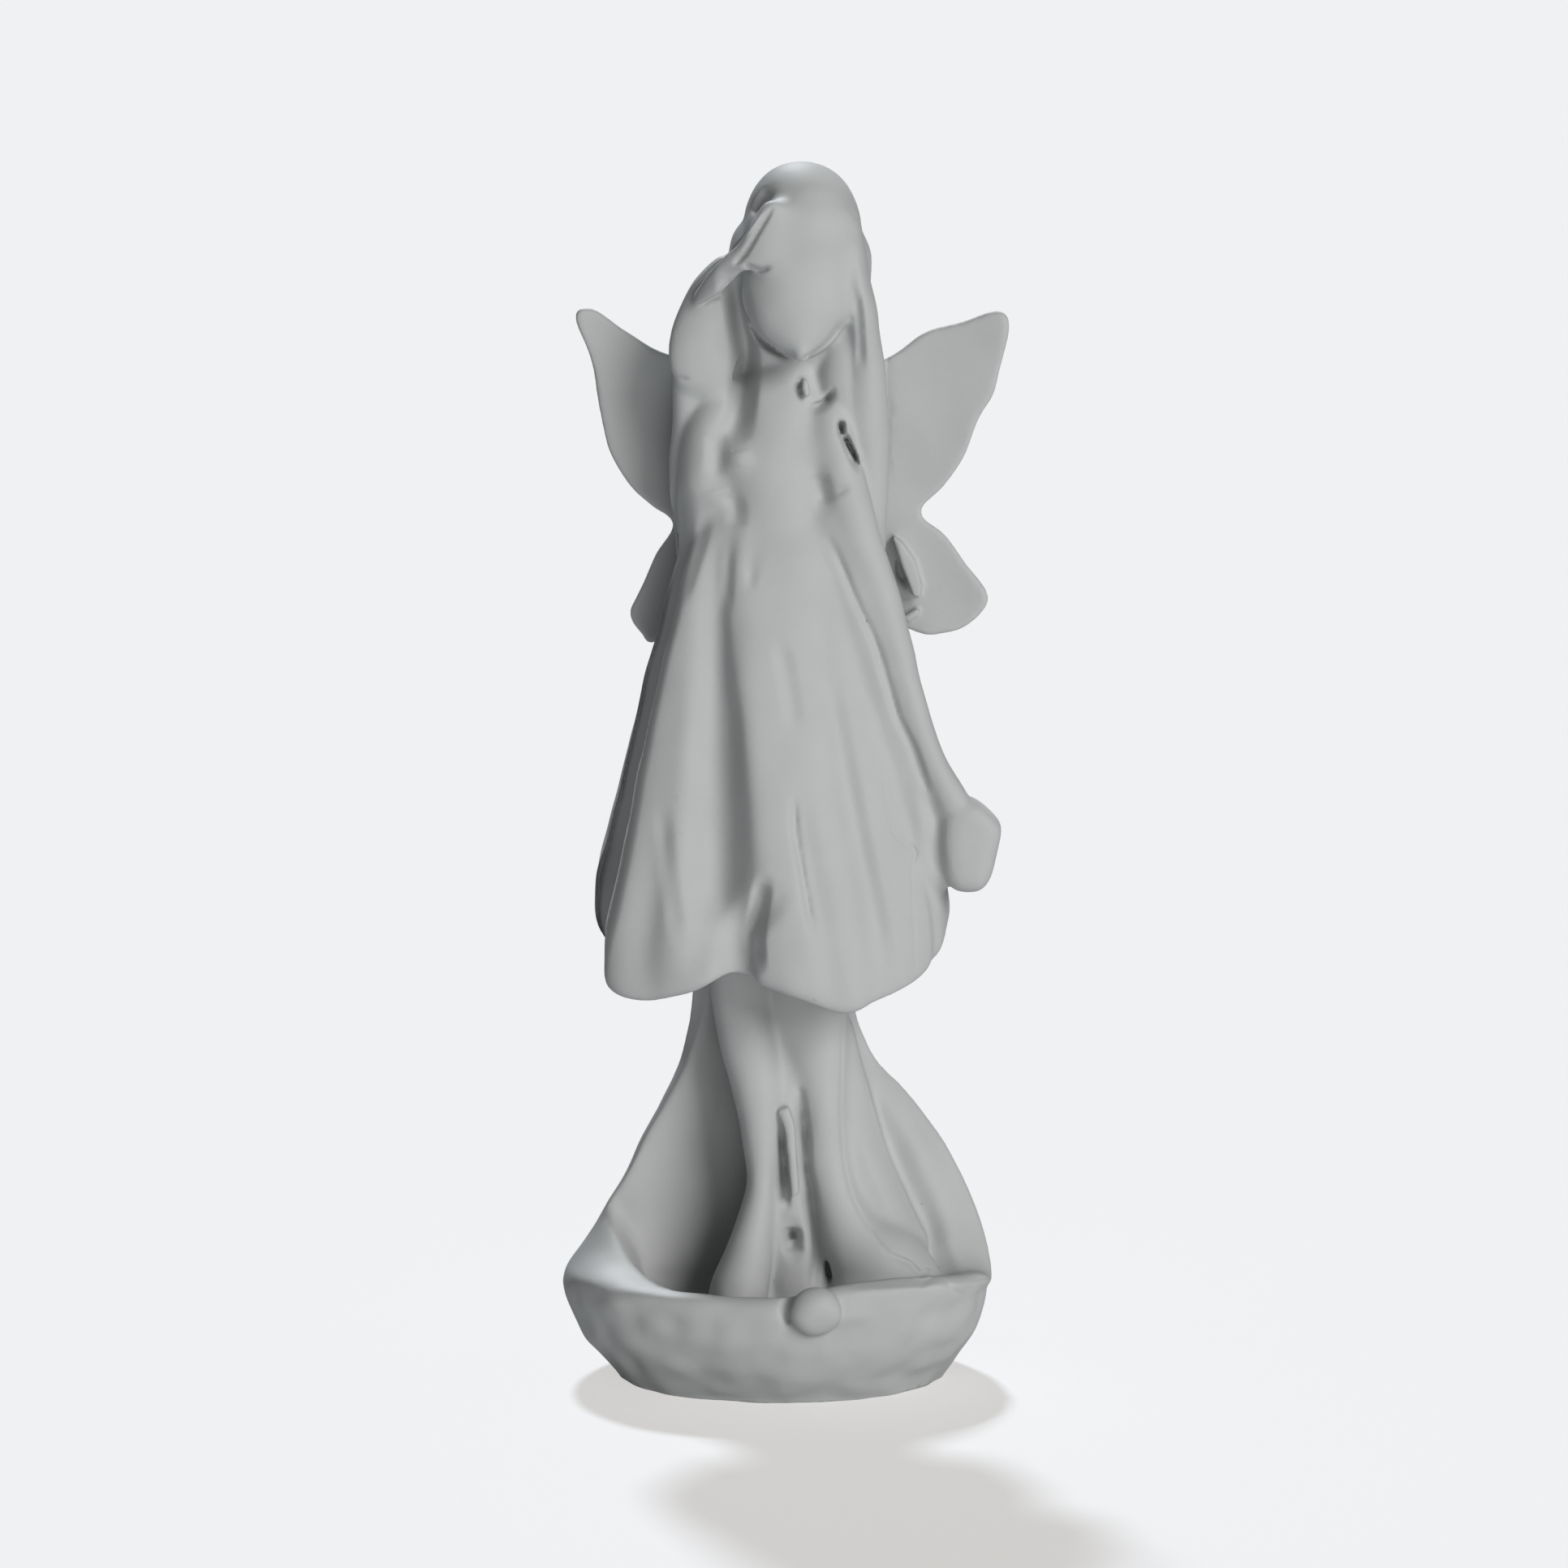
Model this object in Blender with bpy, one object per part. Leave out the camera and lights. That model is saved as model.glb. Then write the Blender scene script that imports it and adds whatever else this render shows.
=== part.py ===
"""Cast fairy figurine: a winged girl in a pleated dress, standing in an open petal dish.

The real object is one casting, so every form below is modelled as its own closed shape and all of
them are then fused into one solid, with their meeting lines softened as they are in the casting.
Sizes are in millimetres. X runs to the viewer's right, Y away from the viewer, Z up, and the origin
is the middle of the flat underside.
"""

import math

import bmesh
import bpy
import numpy as np
from mathutils import Vector

MM = 0.001

# Heights of the landmarks above the flat underside
DISH_FLOOR = 15.0
HEM = 80.0
WAIST = 166.0
SHOULDER = 192.0
CHIN = 202.3
CROWN = 238.8

# The dish and the petal that rises behind the legs
FOOT_HALF_WIDTH = 32.5
FOOT_HALF_DEPTH = 25.5
FOOT_CENTRE_X = -0.6
BELLY_HALF_WIDTH = 42.0
BELLY_HALF_DEPTH = 34.0
BELLY_CENTRE_X = -1.7
BELLY_HEIGHT = 16.0
LIP_ROLL = 1.2
HOLLOW_HALF_WIDTH = 26.0
HOLLOW_HALF_DEPTH = 12.5
HOLLOW_CENTRE_Y = -8.0
HOLLOW_DEPTH = 2.0
RIGHT_FLOOR_RISE = 6.0
RIGHT_WALL_FORWARD = 7.5

# The dress
SKIRT_CENTRE_X = -2.4
SKIRT_CENTRE_Y = -1.0
SKIRT_DEPTH_RATIO = 0.78
SKIRT_SQUARENESS = 0.78
HEM_HALF_WIDTH = 34.4
WAIST_HALF_WIDTH = 12.7
HEM_LIP = 4.0
HEM_RECESS = 7.0
BACK_FOLD_ANGLES = (-148, -113, 112, 146, 180)
BACK_FOLD_DEPTH = 2.4
BACK_FOLD_WIDTH = 13.0

# The thin parts
WING_THICKNESS = 2.4
WING_SETBACK = 13.0
WING_DISH = 3.0
LOCK_THICKNESS = 4.0
PURSE_THICKNESS = 11.0
PURSE_Y = -12.0
SLIVER_REACH = 5.0

# How finely the casting is fused, how far its meeting lines are softened, and its triangle budget
VOXEL = 0.75
BODY_BLEND = 2.0
BLEND = 1.2
CREASE_BLEND = 0.45
MOST_TRIANGLES = 11400

# The rim's outer and inner edges: angle round the dish from the front, then x, y and height
RIM_OUTER = [
    (0, 0.0, -33.5, 21.4),
    (-25, -15.0, -31.5, 21.6),
    (-45, -27.0, -26.5, 21.8),
    (-62, -36.0, -18.5, 22.0),
    (-78, -41.0, -10.0, 22.0),
    (-92, -42.3, -2.0, 22.6),
    (-105, -38.0, 2.5, 28.0),
    (-118, -33.4, 3.5, 35.5),
    (-130, -28.6, 4.5, 45.5),
    (-142, -22.2, 5.0, 57.5),
    (-155, -18.8, 5.5, 69.0),
    (-168, -16.2, 6.0, 80.0),
    (180, -1.0, 6.5, 86.0),
    (170, 12.6, 6.0, 80.0),
    (160, 14.4, 5.5, 70.5),
    (150, 18.0, 5.0, 62.2),
    (139, 24.2, 4.0, 55.4),
    (127, 31.4, 3.0, 46.6),
    (115, 36.6, 2.0, 36.5),
    (103, 40.0, 0.5, 27.5),
    (90, 41.0, -3.0, 20.5),
    (76, 39.6, -12.0, 21.4),
    (62, 35.0, -20.0, 22.6),
    (45, 26.5, -27.0, 23.4),
    (25, 15.0, -31.8, 23.4),
]
RIM_INNER = [
    (0, 0.0, -29.6, 21.8),
    (-25, -12.0, -27.6, 21.2),
    (-45, -20.0, -23.0, 21.0),
    (-62, -26.0, -17.0, 22.6),
    (-78, -30.4, -11.0, 25.2),
    (-92, -33.0, -5.0, 29.6),
    (-105, -34.2, 0.0, 34.0),
    (-118, -31.0, 0.5, 39.0),
    (-130, -26.4, 1.0, 47.6),
    (-142, -19.4, 1.5, 59.5),
    (-155, -15.8, 2.0, 69.5),
    (-168, -12.0, 2.0, 80.0),
    (180, -1.0, 2.5, 86.0),
    (170, 9.6, 2.0, 80.0),
    (160, 11.8, 1.0, 69.0),
    (150, 14.0, 0.0, 59.5),
    (139, 19.4, -1.5, 52.4),
    (127, 25.0, -3.0, 44.4),
    (115, 29.4, -4.0, 35.0),
    (103, 32.8, -6.0, 27.0),
    (90, 34.6, -9.0, 22.6),
    (76, 32.6, -14.0, 22.4),
    (62, 27.0, -19.0, 23.0),
    (45, 20.5, -23.5, 23.8),
    (25, 12.0, -28.0, 23.8),
]

# Where the hem hangs above or below its mean height, by angle round the skirt from the front
HEM_WAVE = [
    (-165, 9.0),
    (-88, 9.5),
    (-74, 5.0),
    (-60, 0.0),
    (-42, -1.9),
    (-22, 0.4),
    (-9, 3.4),
    (4, 0.0),
    (15, -3.1),
    (31, -2.0),
    (50, 0.7),
    (68, 4.6),
    (90, 9.5),
    (140, 9.0),
]

# Share of the hem's extra width over the waist that is left, by share of the way up the skirt
SKIRT_FLARE = [
    (0.0, 1.02),
    (0.12, 1.0),
    (0.25, 0.885),
    (0.5, 0.68),
    (0.75, 0.455),
    (0.88, 0.34),
    (1.0, 0.19),
    (1.14, -0.15),
]
SKIRT_REACH = 1.14

# Folds of the skirt: share of the way up, angle, depth, then how many degrees it spreads to either side
SKIRT_FOLDS = {
    "main_valley": [
        (0.02, -12, 0.0, 12, 9),
        (0.12, -12.5, 3.4, 15, 10),
        (0.25, -14, 6.2, 18, 13),
        (0.5, -17, 5.4, 18, 14),
        (0.8, -25, 2.8, 16, 11),
        (1.0, -31, 1.0, 14, 9),
    ],
    "hem_gather": [
        (0.0, -5, 5.0, 12, 3),
        (0.1, -5, 4.8, 10, 3),
        (0.2, -0.5, 1.8, 8, 3),
        (0.27, 1, 0.0, 6, 4),
        (1.0, 1, 0.0, 6, 4),
    ],
    "left_crease": [
        (0.0, -68, 4.2, 18, 3.5),
        (0.25, -68, 4.2, 18, 3.5),
        (0.5, -68, 3.8, 18, 4),
        (0.8, -70, 2.6, 16, 5),
        (1.0, -72, 0.8, 14, 8),
    ],
    "left_corner": [
        (0.0, -58, -2.2, 9, 24),
        (0.5, -58, -1.9, 9, 24),
        (0.88, -54, -1.2, 9, 22),
        (1.0, -52, -0.4, 9, 20),
    ],
    "centre_valley": [
        (0.0, 14, 0.4, 5, 7),
        (0.12, 12, 0.8, 4, 6),
        (0.3, 8.5, 1.3, 3, 6),
        (0.42, 7, 0.7, 3, 4),
        (0.5, 6, 0.0, 3, 4),
        (1.0, 6, 0.0, 3, 4),
    ],
    "right_valley": [
        (0.0, 31, 0.7, 9, 9),
        (0.15, 30, 1.5, 8, 9),
        (0.4, 26, 1.2, 7, 9),
        (0.7, 22, 0.4, 7, 9),
        (1.0, 22, 0.0, 7, 9),
    ],
    "right_crease": [
        (0.0, 63, 1.0, 2, 7),
        (0.25, 63, 1.0, 2, 7),
        (0.4, 61, 0.0, 2, 7),
        (1.0, 61, 0.0, 2, 7),
    ],
    "left_panel": [
        (0.0, -40, 0.3, 10, 10),
        (0.2, -41, 0.8, 10, 10),
        (0.45, -43, 0.1, 10, 10),
        (1.0, -43, 0.0, 10, 10),
    ],
    "front_panel": [
        (0.0, 4, -2.6, 9, 36),
        (0.3, 0, -2.6, 9, 36),
        (0.6, -4, -1.6, 10, 36),
        (1.0, -8, 0.0, 12, 36),
    ],
}

# Limbs: the landmark height they hang from, then rows of x, y, height from it, half width, half depth
BODY_LIMBS = {
    "trunk": (
        SHOULDER,
        [
            (-2.4, -0.8, -44, 11.6, 10.0),
            (-2.4, -0.8, -34, 12.6, 11.0),
            (-2.0, -1.0, -24, 12.6, 12.0),
            (-1.4, -1.4, -10, 12.4, 12.0),
            (-0.4, -1.0, -2, 12.5, 10.4),
            (1.0, 0.0, 4, 9.0, 8.0),
            (2.0, 0.0, 9, 6.4, 6.8),
            (3.0, -3.0, 17, 5.6, 6.2),
        ],
    ),
    "left_arm": (
        SHOULDER,
        [
            (-11.6, -1.0, 1, 5.0, 6.2),
            (-13.8, -1.4, -6, 6.2, 8.0),
            (-14.4, -1.2, -14, 6.6, 8.8),
            (-15.2, 0.0, -24, 5.6, 8.0),
            (-16.2, 1.0, -34, 4.4, 6.6),
            (-17.2, 2.0, -42, 3.6, 5.0),
        ],
    ),
    "right_arm": (
        SHOULDER,
        [
            (8.8, -8.0, -5, 4.2, 5.0),
            (11.6, -8.6, -16, 4.5, 4.8),
            (14.3, -9.4, -26, 4.7, 4.6),
            (17.4, -10.2, -34, 4.4, 4.4),
            (20.2, -11.0, -42, 3.8, 4.2),
            (23.3, -12.0, -53, 3.2, 4.0),
            (25.7, -13.0, -61, 2.9, 3.8),
            (28.5, -13.6, -68, 2.8, 3.6),
            (31.6, -13.6, -74, 3.2, 3.8),
            (34.0, -13.2, -78, 3.0, 3.8),
        ],
    ),
    "cloth_behind_right_arm": (
        SHOULDER,
        [
            (9.0, -6.0, -20, 5.5, 6.5),
            (13.0, -7.6, -36, 6.0, 7.0),
            (17.5, -8.8, -50, 6.2, 7.0),
            (22.5, -9.6, -66, 6.2, 6.4),
            (27.0, -9.8, -80, 6.0, 6.2),
            (29.0, -9.6, -90, 4.8, 5.4),
        ],
    ),
    "left_leg": (
        HEM,
        [
            (-9.0, -5.0, 10, 6.4, 6.6),
            (-8.8, -6.0, -4, 5.6, 6.4),
            (-6.8, -8.0, -13, 5.5, 6.0),
            (-5.0, -8.8, -24, 4.6, 5.6),
            (-4.5, -9.4, -32, 3.6, 5.2),
            (-4.5, -10.0, -39, 3.1, 5.0),
            (-5.3, -11.5, -46, 3.6, 5.2),
            (-7.2, -14.0, -54, 4.7, 6.0),
            (-8.8, -16.0, -61, 5.8, 7.4),
            (-9.2, -16.0, -70, 6.4, 8.0),
        ],
    ),
    "right_leg": (
        HEM,
        [
            (5.0, -3.0, 10, 8.0, 6.6),
            (4.6, -4.2, -6, 8.2, 6.4),
            (6.2, -5.4, -15, 6.4, 6.2),
            (7.8, -6.6, -26, 4.6, 5.8),
            (8.6, -7.6, -36, 4.6, 5.4),
            (10.4, -9.0, -43, 4.8, 5.6),
            (13.8, -10.4, -50, 6.4, 6.4),
            (18.0, -11.2, -56, 10.0, 8.0),
            (19.6, -12.0, -62, 12.4, 9.0),
            (19.6, -12.0, -70, 13.0, 9.6),
        ],
    ),
    "web_between_legs": (
        HEM,
        [
            (0.6, -4.0, -12, 4.6, 4.2),
            (1.0, -6.4, -24, 3.6, 4.6),
            (1.4, -7.4, -38, 3.8, 4.4),
            (2.0, -8.8, -50, 5.4, 4.8),
            (2.4, -10.0, -68, 7.0, 6.0),
        ],
    ),
    "web_beside_right_leg": (
        HEM,
        [
            (10.4, -1.4, -10, 3.4, 4.2),
            (12.2, -2.0, -22, 4.4, 5.0),
            (14.6, -2.8, -34, 5.4, 5.6),
            (17.2, -4.4, -44, 6.8, 6.2),
            (20.5, -7.0, -54, 8.5, 6.8),
        ],
    ),
}
HEAD_LIMBS = {
    "face": (
        CHIN,
        [
            (3.3, -15.2, 0.5, 1.8, 2.4),
            (3.2, -14.2, 1.9, 4.8, 4.8),
            (3.1, -12.8, 4.0, 7.6, 7.0),
            (3.0, -11.2, 7.4, 9.8, 8.9),
            (2.9, -9.0, 12.5, 11.0, 10.2),
            (3.2, -7.2, 18.0, 11.2, 10.8),
            (3.6, -6.0, 25.0, 9.6, 10.4),
            (3.6, -5.0, 30.0, 7.0, 8.0),
        ],
    ),
    "hair_down_back": (
        CROWN,
        [
            (3.8, -3.0, -10, 9.6, 11.4),
            (3.2, -2.4, -16, 13.4, 14.2),
            (2.4, 0.4, -24, 14.4, 13.0),
            (0.6, 2.6, -32, 17.6, 11.4),
            (-1.0, 6.0, -43, 20.0, 7.4),
            (-1.0, 8.0, -55, 20.6, 5.4),
            (-1.2, 9.0, -67, 20.6, 4.8),
            (-1.4, 9.0, -78, 20.0, 4.6),
            (-2.4, 8.0, -89, 18.0, 4.0),
        ],
    ),
    "hair_curtain_right": (
        CROWN,
        [
            (12.6, -6.0, -14, 2.4, 6.0),
            (13.8, -7.5, -22, 2.6, 7.4),
            (15.0, -7.0, -30, 3.0, 6.8),
            (16.0, -5.5, -38, 3.4, 6.0),
            (16.2, -4.0, -49, 4.2, 5.4),
            (16.6, -2.5, -59, 3.6, 4.6),
            (17.2, -1.0, -69, 2.8, 4.2),
            (17.6, 2.0, -75, 2.2, 3.6),
        ],
    ),
    "hanging_lock_left": (
        CROWN,
        [
            (-10.4, -4.4, -21, 4.0, 4.0),
            (-13.3, -5.0, -27, 5.8, 3.8),
            (-14.8, -5.6, -33, 7.0, 3.4),
            (-15.2, -6.0, -38, 7.0, 3.0),
            (-15.6, -6.0, -41, 6.2, 2.6),
        ],
    ),
    "hair_beside_neck": (
        CROWN,
        [
            (12.0, -5.0, -24, 3.6, 4.6),
            (12.4, -4.6, -32, 4.4, 5.0),
            (11.6, -4.2, -42, 5.0, 5.2),
            (12.4, -3.6, -52, 4.6, 5.0),
        ],
    ),
    "hair_edge_left": (
        SHOULDER,
        [
            (-18.0, -3.0, 5, 3.4, 3.4),
            (-18.8, -1.0, -4, 2.8, 3.4),
            (-19.6, 1.0, -12, 3.0, 3.4),
            (-18.8, 3.5, -24, 2.6, 3.4),
        ],
    ),
    "wing_root": (
        WAIST,
        [
            (0.0, 10.0, -6, 5.0, 4.0),
            (0.0, 11.0, 10, 7.0, 4.5),
            (0.0, 9.0, 30, 6.0, 4.0),
        ],
    ),
}

# Rounded masses: the landmark height, then x, y, height from it, and the three half sizes
BODY_MASSES = {
    "sleeve": (SHOULDER, (8.6, -7.0, -7.0), (4.8, 5.8, 8.6)),
    "bust_left": (SHOULDER, (-8.0, -7.2, -10.0), (4.8, 5.4, 5.2)),
    "bust_right": (SHOULDER, (0.6, -8.0, -9.5), (7.4, 4.8, 6.4)),
    "ribs_left": (SHOULDER, (-11.6, -5.4, -17.0), (4.6, 4.4, 5.6)),
}
HEAD_MASSES = {
    "crown": (CROWN, (3.4, -4.2, -13.0), (11.4, 14.4, 13.0)),
    "fringe": (CROWN, (3.6, -7.6, -13.4), (11.5, 12.0, 9.4)),
}
RIM_BEAD = ((5.9, -33.4, 20.2), (4.9, 3.6, 4.9))

# Wing outlines as (x, height from the waist), from the top of the root round the tips
WINGS = {
    "right": [
        (4.0, 30.0),
        (19.5, 34.0),
        (27.5, 39.2),
        (34.5, 41.2),
        (41.6, 43.4),
        (44.0, 40.6),
        (42.2, 31.5),
        (41.0, 27.0),
        (38.2, 22.4),
        (35.6, 15.2),
        (31.4, 8.8),
        (27.0, 3.8),
        (31.8, -0.4),
        (36.0, -6.4),
        (40.2, -12.8),
        (37.0, -17.8),
        (32.0, -19.9),
        (24.0, -19.0),
        (4.0, -6.0),
    ],
    "left": [
        (-4.0, 30.0),
        (-22.4, 34.8),
        (-30.4, 39.3),
        (-37.4, 43.8),
        (-40.8, 42.2),
        (-37.2, 31.6),
        (-35.4, 20.0),
        (-33.6, 14.6),
        (-29.8, 8.8),
        (-25.8, 5.0),
        (-22.0, 1.5),
        (-25.4, -4.6),
        (-29.0, -12.4),
        (-30.4, -16.2),
        (-28.2, -19.9),
        (-24.0, -21.2),
        (-4.0, -6.0),
    ],
}

# The lock swept across to the left, as (x, height from the crown), from its top round the tip
SWEPT_LOCK = [
    (-1.4, -6.8),
    (-3.4, -7.2),
    (-5.2, -9.4),
    (-6.4, -11.8),
    (-8.8, -15.6),
    (-11.4, -18.0),
    (-14.8, -21.6),
    (-17.6, -26.0),
    (-16.6, -27.4),
    (-13.0, -25.2),
    (-9.8, -22.2),
    (-7.6, -20.4),
    (-2.6, -20.0),
    (3.0, -14.0),
    (1.0, -8.6),
]

# The purse's outline as (x, height from the shoulder)
PURSE = [
    (30.6, -78.6),
    (33.7, -75.4),
    (37.2, -75.6),
    (41.2, -79.2),
    (42.1, -81.8),
    (40.9, -87.4),
    (39.5, -91.2),
    (37.2, -93.2),
    (32.8, -92.8),
    (30.4, -88.4),
]

# Raised slivers on the casting: y of the front face at its top and bottom, then the outline as (x, z)
SLIVERS = {
    "between_the_legs": (
        -13.8,
        -15.0,
        [
            (-1.2, 55.4),
            (0.8, 56.0),
            (2.0, 52.6),
            (2.3, 46.4),
            (3.1, 39.0),
            (1.3, 38.0),
            (0.9, 45.7),
            (0.3, 51.4),
        ],
    ),
    "by_the_wing": (
        7.6,
        7.6,
        [
            (21.4, 165.4),
            (23.2, 164.1),
            (25.8, 160.7),
            (27.2, 155.8),
            (26.7, 153.3),
            (25.2, 153.7),
            (23.0, 159.9),
        ],
    ),
    "under_the_wing": (8.6, 8.6, [(23.0, 149.4), (24.6, 150.4), (26.5, 151.4), (26.6, 150.2), (24.4, 148.4)]),
    "throat": (-10.2, -11.2, [(3.6, 197.6), (4.4, 197.0), (5.0, 194.2), (4.2, 193.9), (3.5, 195.0)]),
}

# Marks pressed into the front: depth, radius, the furthest back they reach, then (x, z) points
STROKES = {
    "leg_slit": (
        3.4,
        1.5,
        -2,
        [(3.0, 58.5), (3.9, 50.8), (4.4, 43.9), (5.4, 38.5), (6.0, 32.0), (6.0, 25.0), (5.8, 20.5)],
    ),
    "leg_patch": (2.6, 2.0, -2, [(4.6, 40.5), (5.8, 33.5), (6.4, 27.0), (6.0, 21.5)]),
    "sliver_slit": (3.0, 0.9, -2, [(-0.8, 51.0), (-0.1, 43.9), (0.5, 36.2)]),
    "web_recess": (3.2, 2.0, -2, [(1.6, 30.6), (1.8, 28.6)]),
    "right_hollow": (1.8, 6.0, 8, [(14.2, 59.0), (19.5, 50.0), (24.2, 40.0), (27.8, 32.0), (30.5, 26.4)]),
    "rim_line": (1.2, 1.2, -20, [(12.6, 25.0), (16.6, 25.1), (21.5, 24.8), (28.2, 24.3), (33.6, 24.0)]),
    "bead_shadow": (1.6, 1.3, -25, [(1.0, 23.6), (0.2, 20.6), (1.2, 17.6)]),
    "arm_line": (
        1.1,
        1.2,
        6,
        [
            (8.6, 167.0),
            (10.8, 162.5),
            (13.7, 155.5),
            (17.5, 147.2),
            (19.9, 139.5),
            (22.0, 132.6),
            (24.6, 127.4),
            (26.9, 120.8),
            (28.6, 115.9),
        ],
    ),
    "purse_valley": (1.2, 2.6, 6, [(27.6, 118.0), (28.9, 112.4), (29.0, 107.5), (30.2, 102.5)]),
    "sleeve_hem": (1.0, 1.4, 6, [(5.0, 180.4), (6.6, 176.8), (9.6, 176.0), (12.4, 176.9)]),
    "collar": (1.8, 1.4, 6, [(5.0, 191.6), (7.3, 192.4), (9.4, 194.2)]),
    "diamond_slit": (4.5, 0.8, 6, [(10.8, 188.4), (11.0, 187.2)]),
    "long_slit": (4.5, 0.9, 6, [(11.7, 185.6), (12.6, 184.0), (13.6, 182.0)]),
    "wing_slit": (4.0, 1.2, 12, [(20.8, 164.6), (21.8, 160.2), (24.0, 155.6)]),
    "neck_hollow": (
        1.8,
        3.6,
        6,
        [(-9.4, 214.0), (-8.4, 209.0), (-7.6, 203.0), (-7.8, 196.0), (-8.8, 190.0), (-11.4, 185.0)],
    ),
    "jaw_left": (1.5, 1.7, 6, [(-9.8, 215.6), (-7.8, 209.2), (-5.2, 205.4), (-2.0, 202.8), (1.4, 201.2)]),
    "hem_curl": (3.0, 2.2, 6, [(-3.8, 102.5), (-4.6, 98.0), (-5.6, 92.0), (-5.2, 86.5)]),
    "throat_pit": (1.6, 1.5, 6, [(3.4, 197.8), (3.6, 194.0)]),
    "bust_left_crease": (0.7, 1.8, 6, [(-12.2, 185.0), (-12.4, 182.0), (-11.6, 179.0)]),
    "under_bust": (1.2, 2.4, 6, [(-9.4, 173.0), (-8.4, 171.6)]),
    "lobe_hollow": (2.2, 1.9, 6, [(-2.4, 233.4), (-4.4, 231.2), (-6.0, 228.6)]),
    "fringe_crease": (1.1, 1.0, 6, [(-7.1, 219.1), (-4.2, 218.5), (-1.0, 219.6)]),
    "skirt_crease": (1.2, 1.1, 6, [(1.9, 117.9), (2.1, 113.0), (3.1, 106.1), (4.1, 100.5), (5.5, 92.9)]),
    "waist_fold_left": (0.9, 1.9, 6, [(-15.0, 170.0), (-17.0, 163.4), (-19.4, 156.0)]),
    "waist_fold_mid": (0.9, 1.7, 6, [(-9.8, 170.0), (-10.5, 163.0), (-11.0, 154.0)]),
    "waist_fold_right": (0.6, 1.6, 6, [(-5.3, 170.0), (-6.0, 164.0), (-6.4, 158.0)]),
}

UP = np.array([0.0, 0.0, 1.0])


def smooth(t):
    """Eases 0 to 1 with no corner at either end."""
    t = np.clip(t, 0.0, 1.0)
    return t * t * (3.0 - 2.0 * t)


def curve_through(a, b, c, d, t):
    """The smooth curve from b to c, with a and d as the points before and after them."""
    bend = 2 * a - 5 * b + 4 * c - d
    return 0.5 * (2 * b + (c - a) * t + bend * t**2 + (3 * b - a - 3 * c + d) * t**3)


def spline(points, count):
    """count points evenly spread on a smooth open curve through the given points."""
    p = np.array(points, float)
    p = np.vstack([2 * p[0] - p[1], p, 2 * p[-1] - p[-2]])
    place = np.linspace(0, len(p) - 3, count)
    i = np.minimum(place.astype(int), len(p) - 4)
    return curve_through(p[i], p[i + 1], p[i + 2], p[i + 3], (place - i)[:, None])


def closed_spline(points, count):
    """count points on a smooth closed curve through the given points."""
    p = np.array(points, float)
    place = np.arange(count) * len(p) / count
    i = place.astype(int)
    a, b, c, d = (p[(i + k) % len(p)] for k in (-1, 0, 1, 2))
    return curve_through(a, b, c, d, (place - i)[:, None])


def between_keys(place, value, slope, at):
    """Values at places on the smooth curve that has the given values and slopes at its keys."""
    i = np.clip(np.searchsorted(place, at) - 1, 0, len(place) - 2)
    gap = (place[i + 1] - place[i])[:, None]
    t = (at - place[i])[:, None] / gap
    start = (2 * t**3 - 3 * t**2 + 1) * value[i] + (t**3 - 2 * t**2 + t) * gap * slope[i]
    finish = (3 * t**2 - 2 * t**3) * value[i + 1] + (t**3 - t**2) * gap * slope[i + 1]
    return start + finish


def ease(keys, at):
    """Values at one place between (place, value, ...) keys, which never swing past a key."""
    place = np.array([k[0] for k in keys], float)
    value = np.array([k[1:] for k in keys], float)
    rise = np.diff(value, axis=0) / np.diff(place)[:, None]
    both = rise[:-1] * rise[1:]
    slope = np.zeros_like(value)
    slope[1:-1] = np.where(both > 0, 2 * both / np.where(both > 0, rise[:-1] + rise[1:], 1), 0)
    slope[0], slope[-1] = rise[0], rise[-1]
    return between_keys(place, value, slope, np.array([at]))[0]


def around(keys, angle):
    """Values at angles in degrees, on a smooth closed curve through (angle, value, ...) keys."""
    keys = sorted(keys)
    wrapped = [(keys[-1][0] - 360, *keys[-1][1:]), *keys, (keys[0][0] + 360, *keys[0][1:])]
    place = np.array([k[0] for k in wrapped], float)
    value = np.array([k[1:] for k in wrapped], float)
    return between_keys(place, value, np.gradient(value, place, axis=0), angle)


def full_turn(sides):
    """Angles in degrees round a full turn, with the matching directions across and away from the front."""
    angle = np.linspace(-180, 180, sides, endpoint=False)
    return angle, np.sin(np.radians(angle)), -np.cos(np.radians(angle))


def inward_from(ring, centre):
    """Level unit directions from each point of a ring to its centre."""
    inward = centre - ring
    inward[:, 2] = 0
    return inward / np.linalg.norm(inward, axis=1)[:, None]


def loft(bm, rings):
    """A closed skin over rings that all have as many points, closed by a point at either end."""
    rows = [[bm.verts.new(Vector(p) * MM) for p in ring] for ring in rings]
    count = len(rows[0])
    for low, high in zip(rows, rows[1:]):
        for k in range(count):
            n = (k + 1) % count
            bm.faces.new((low[k], low[n], high[n], high[k]))
    for row, below in ((rows[0], True), (rows[-1], False)):
        tip = bm.verts.new(sum((v.co for v in row), Vector()) / count)
        for k in range(count):
            pair = (row[k], row[(k + 1) % count])
            bm.faces.new((*(pair[::-1] if below else pair), tip))


def smooth_rings(*rings, steps=4):
    """The rings with more between them, so that a skin over them curves from each to the next."""
    stack = np.array(rings)
    count = steps * (len(stack) - 1) + 1
    return list(spline(stack.reshape(len(stack), -1), count).reshape(count, -1, 3))


def round_end(ring, before):
    """Two shrinking rings beyond an end, which give a limb a rounded tip."""
    middle = ring.mean(0)
    step = middle - before.mean(0)
    reach = step / np.linalg.norm(step) * np.linalg.norm(ring - middle, axis=1).mean()
    return [middle + (ring - middle) * share + reach * far for share, far in ((0.8, 0.45), (0.4, 0.75))]


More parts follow.
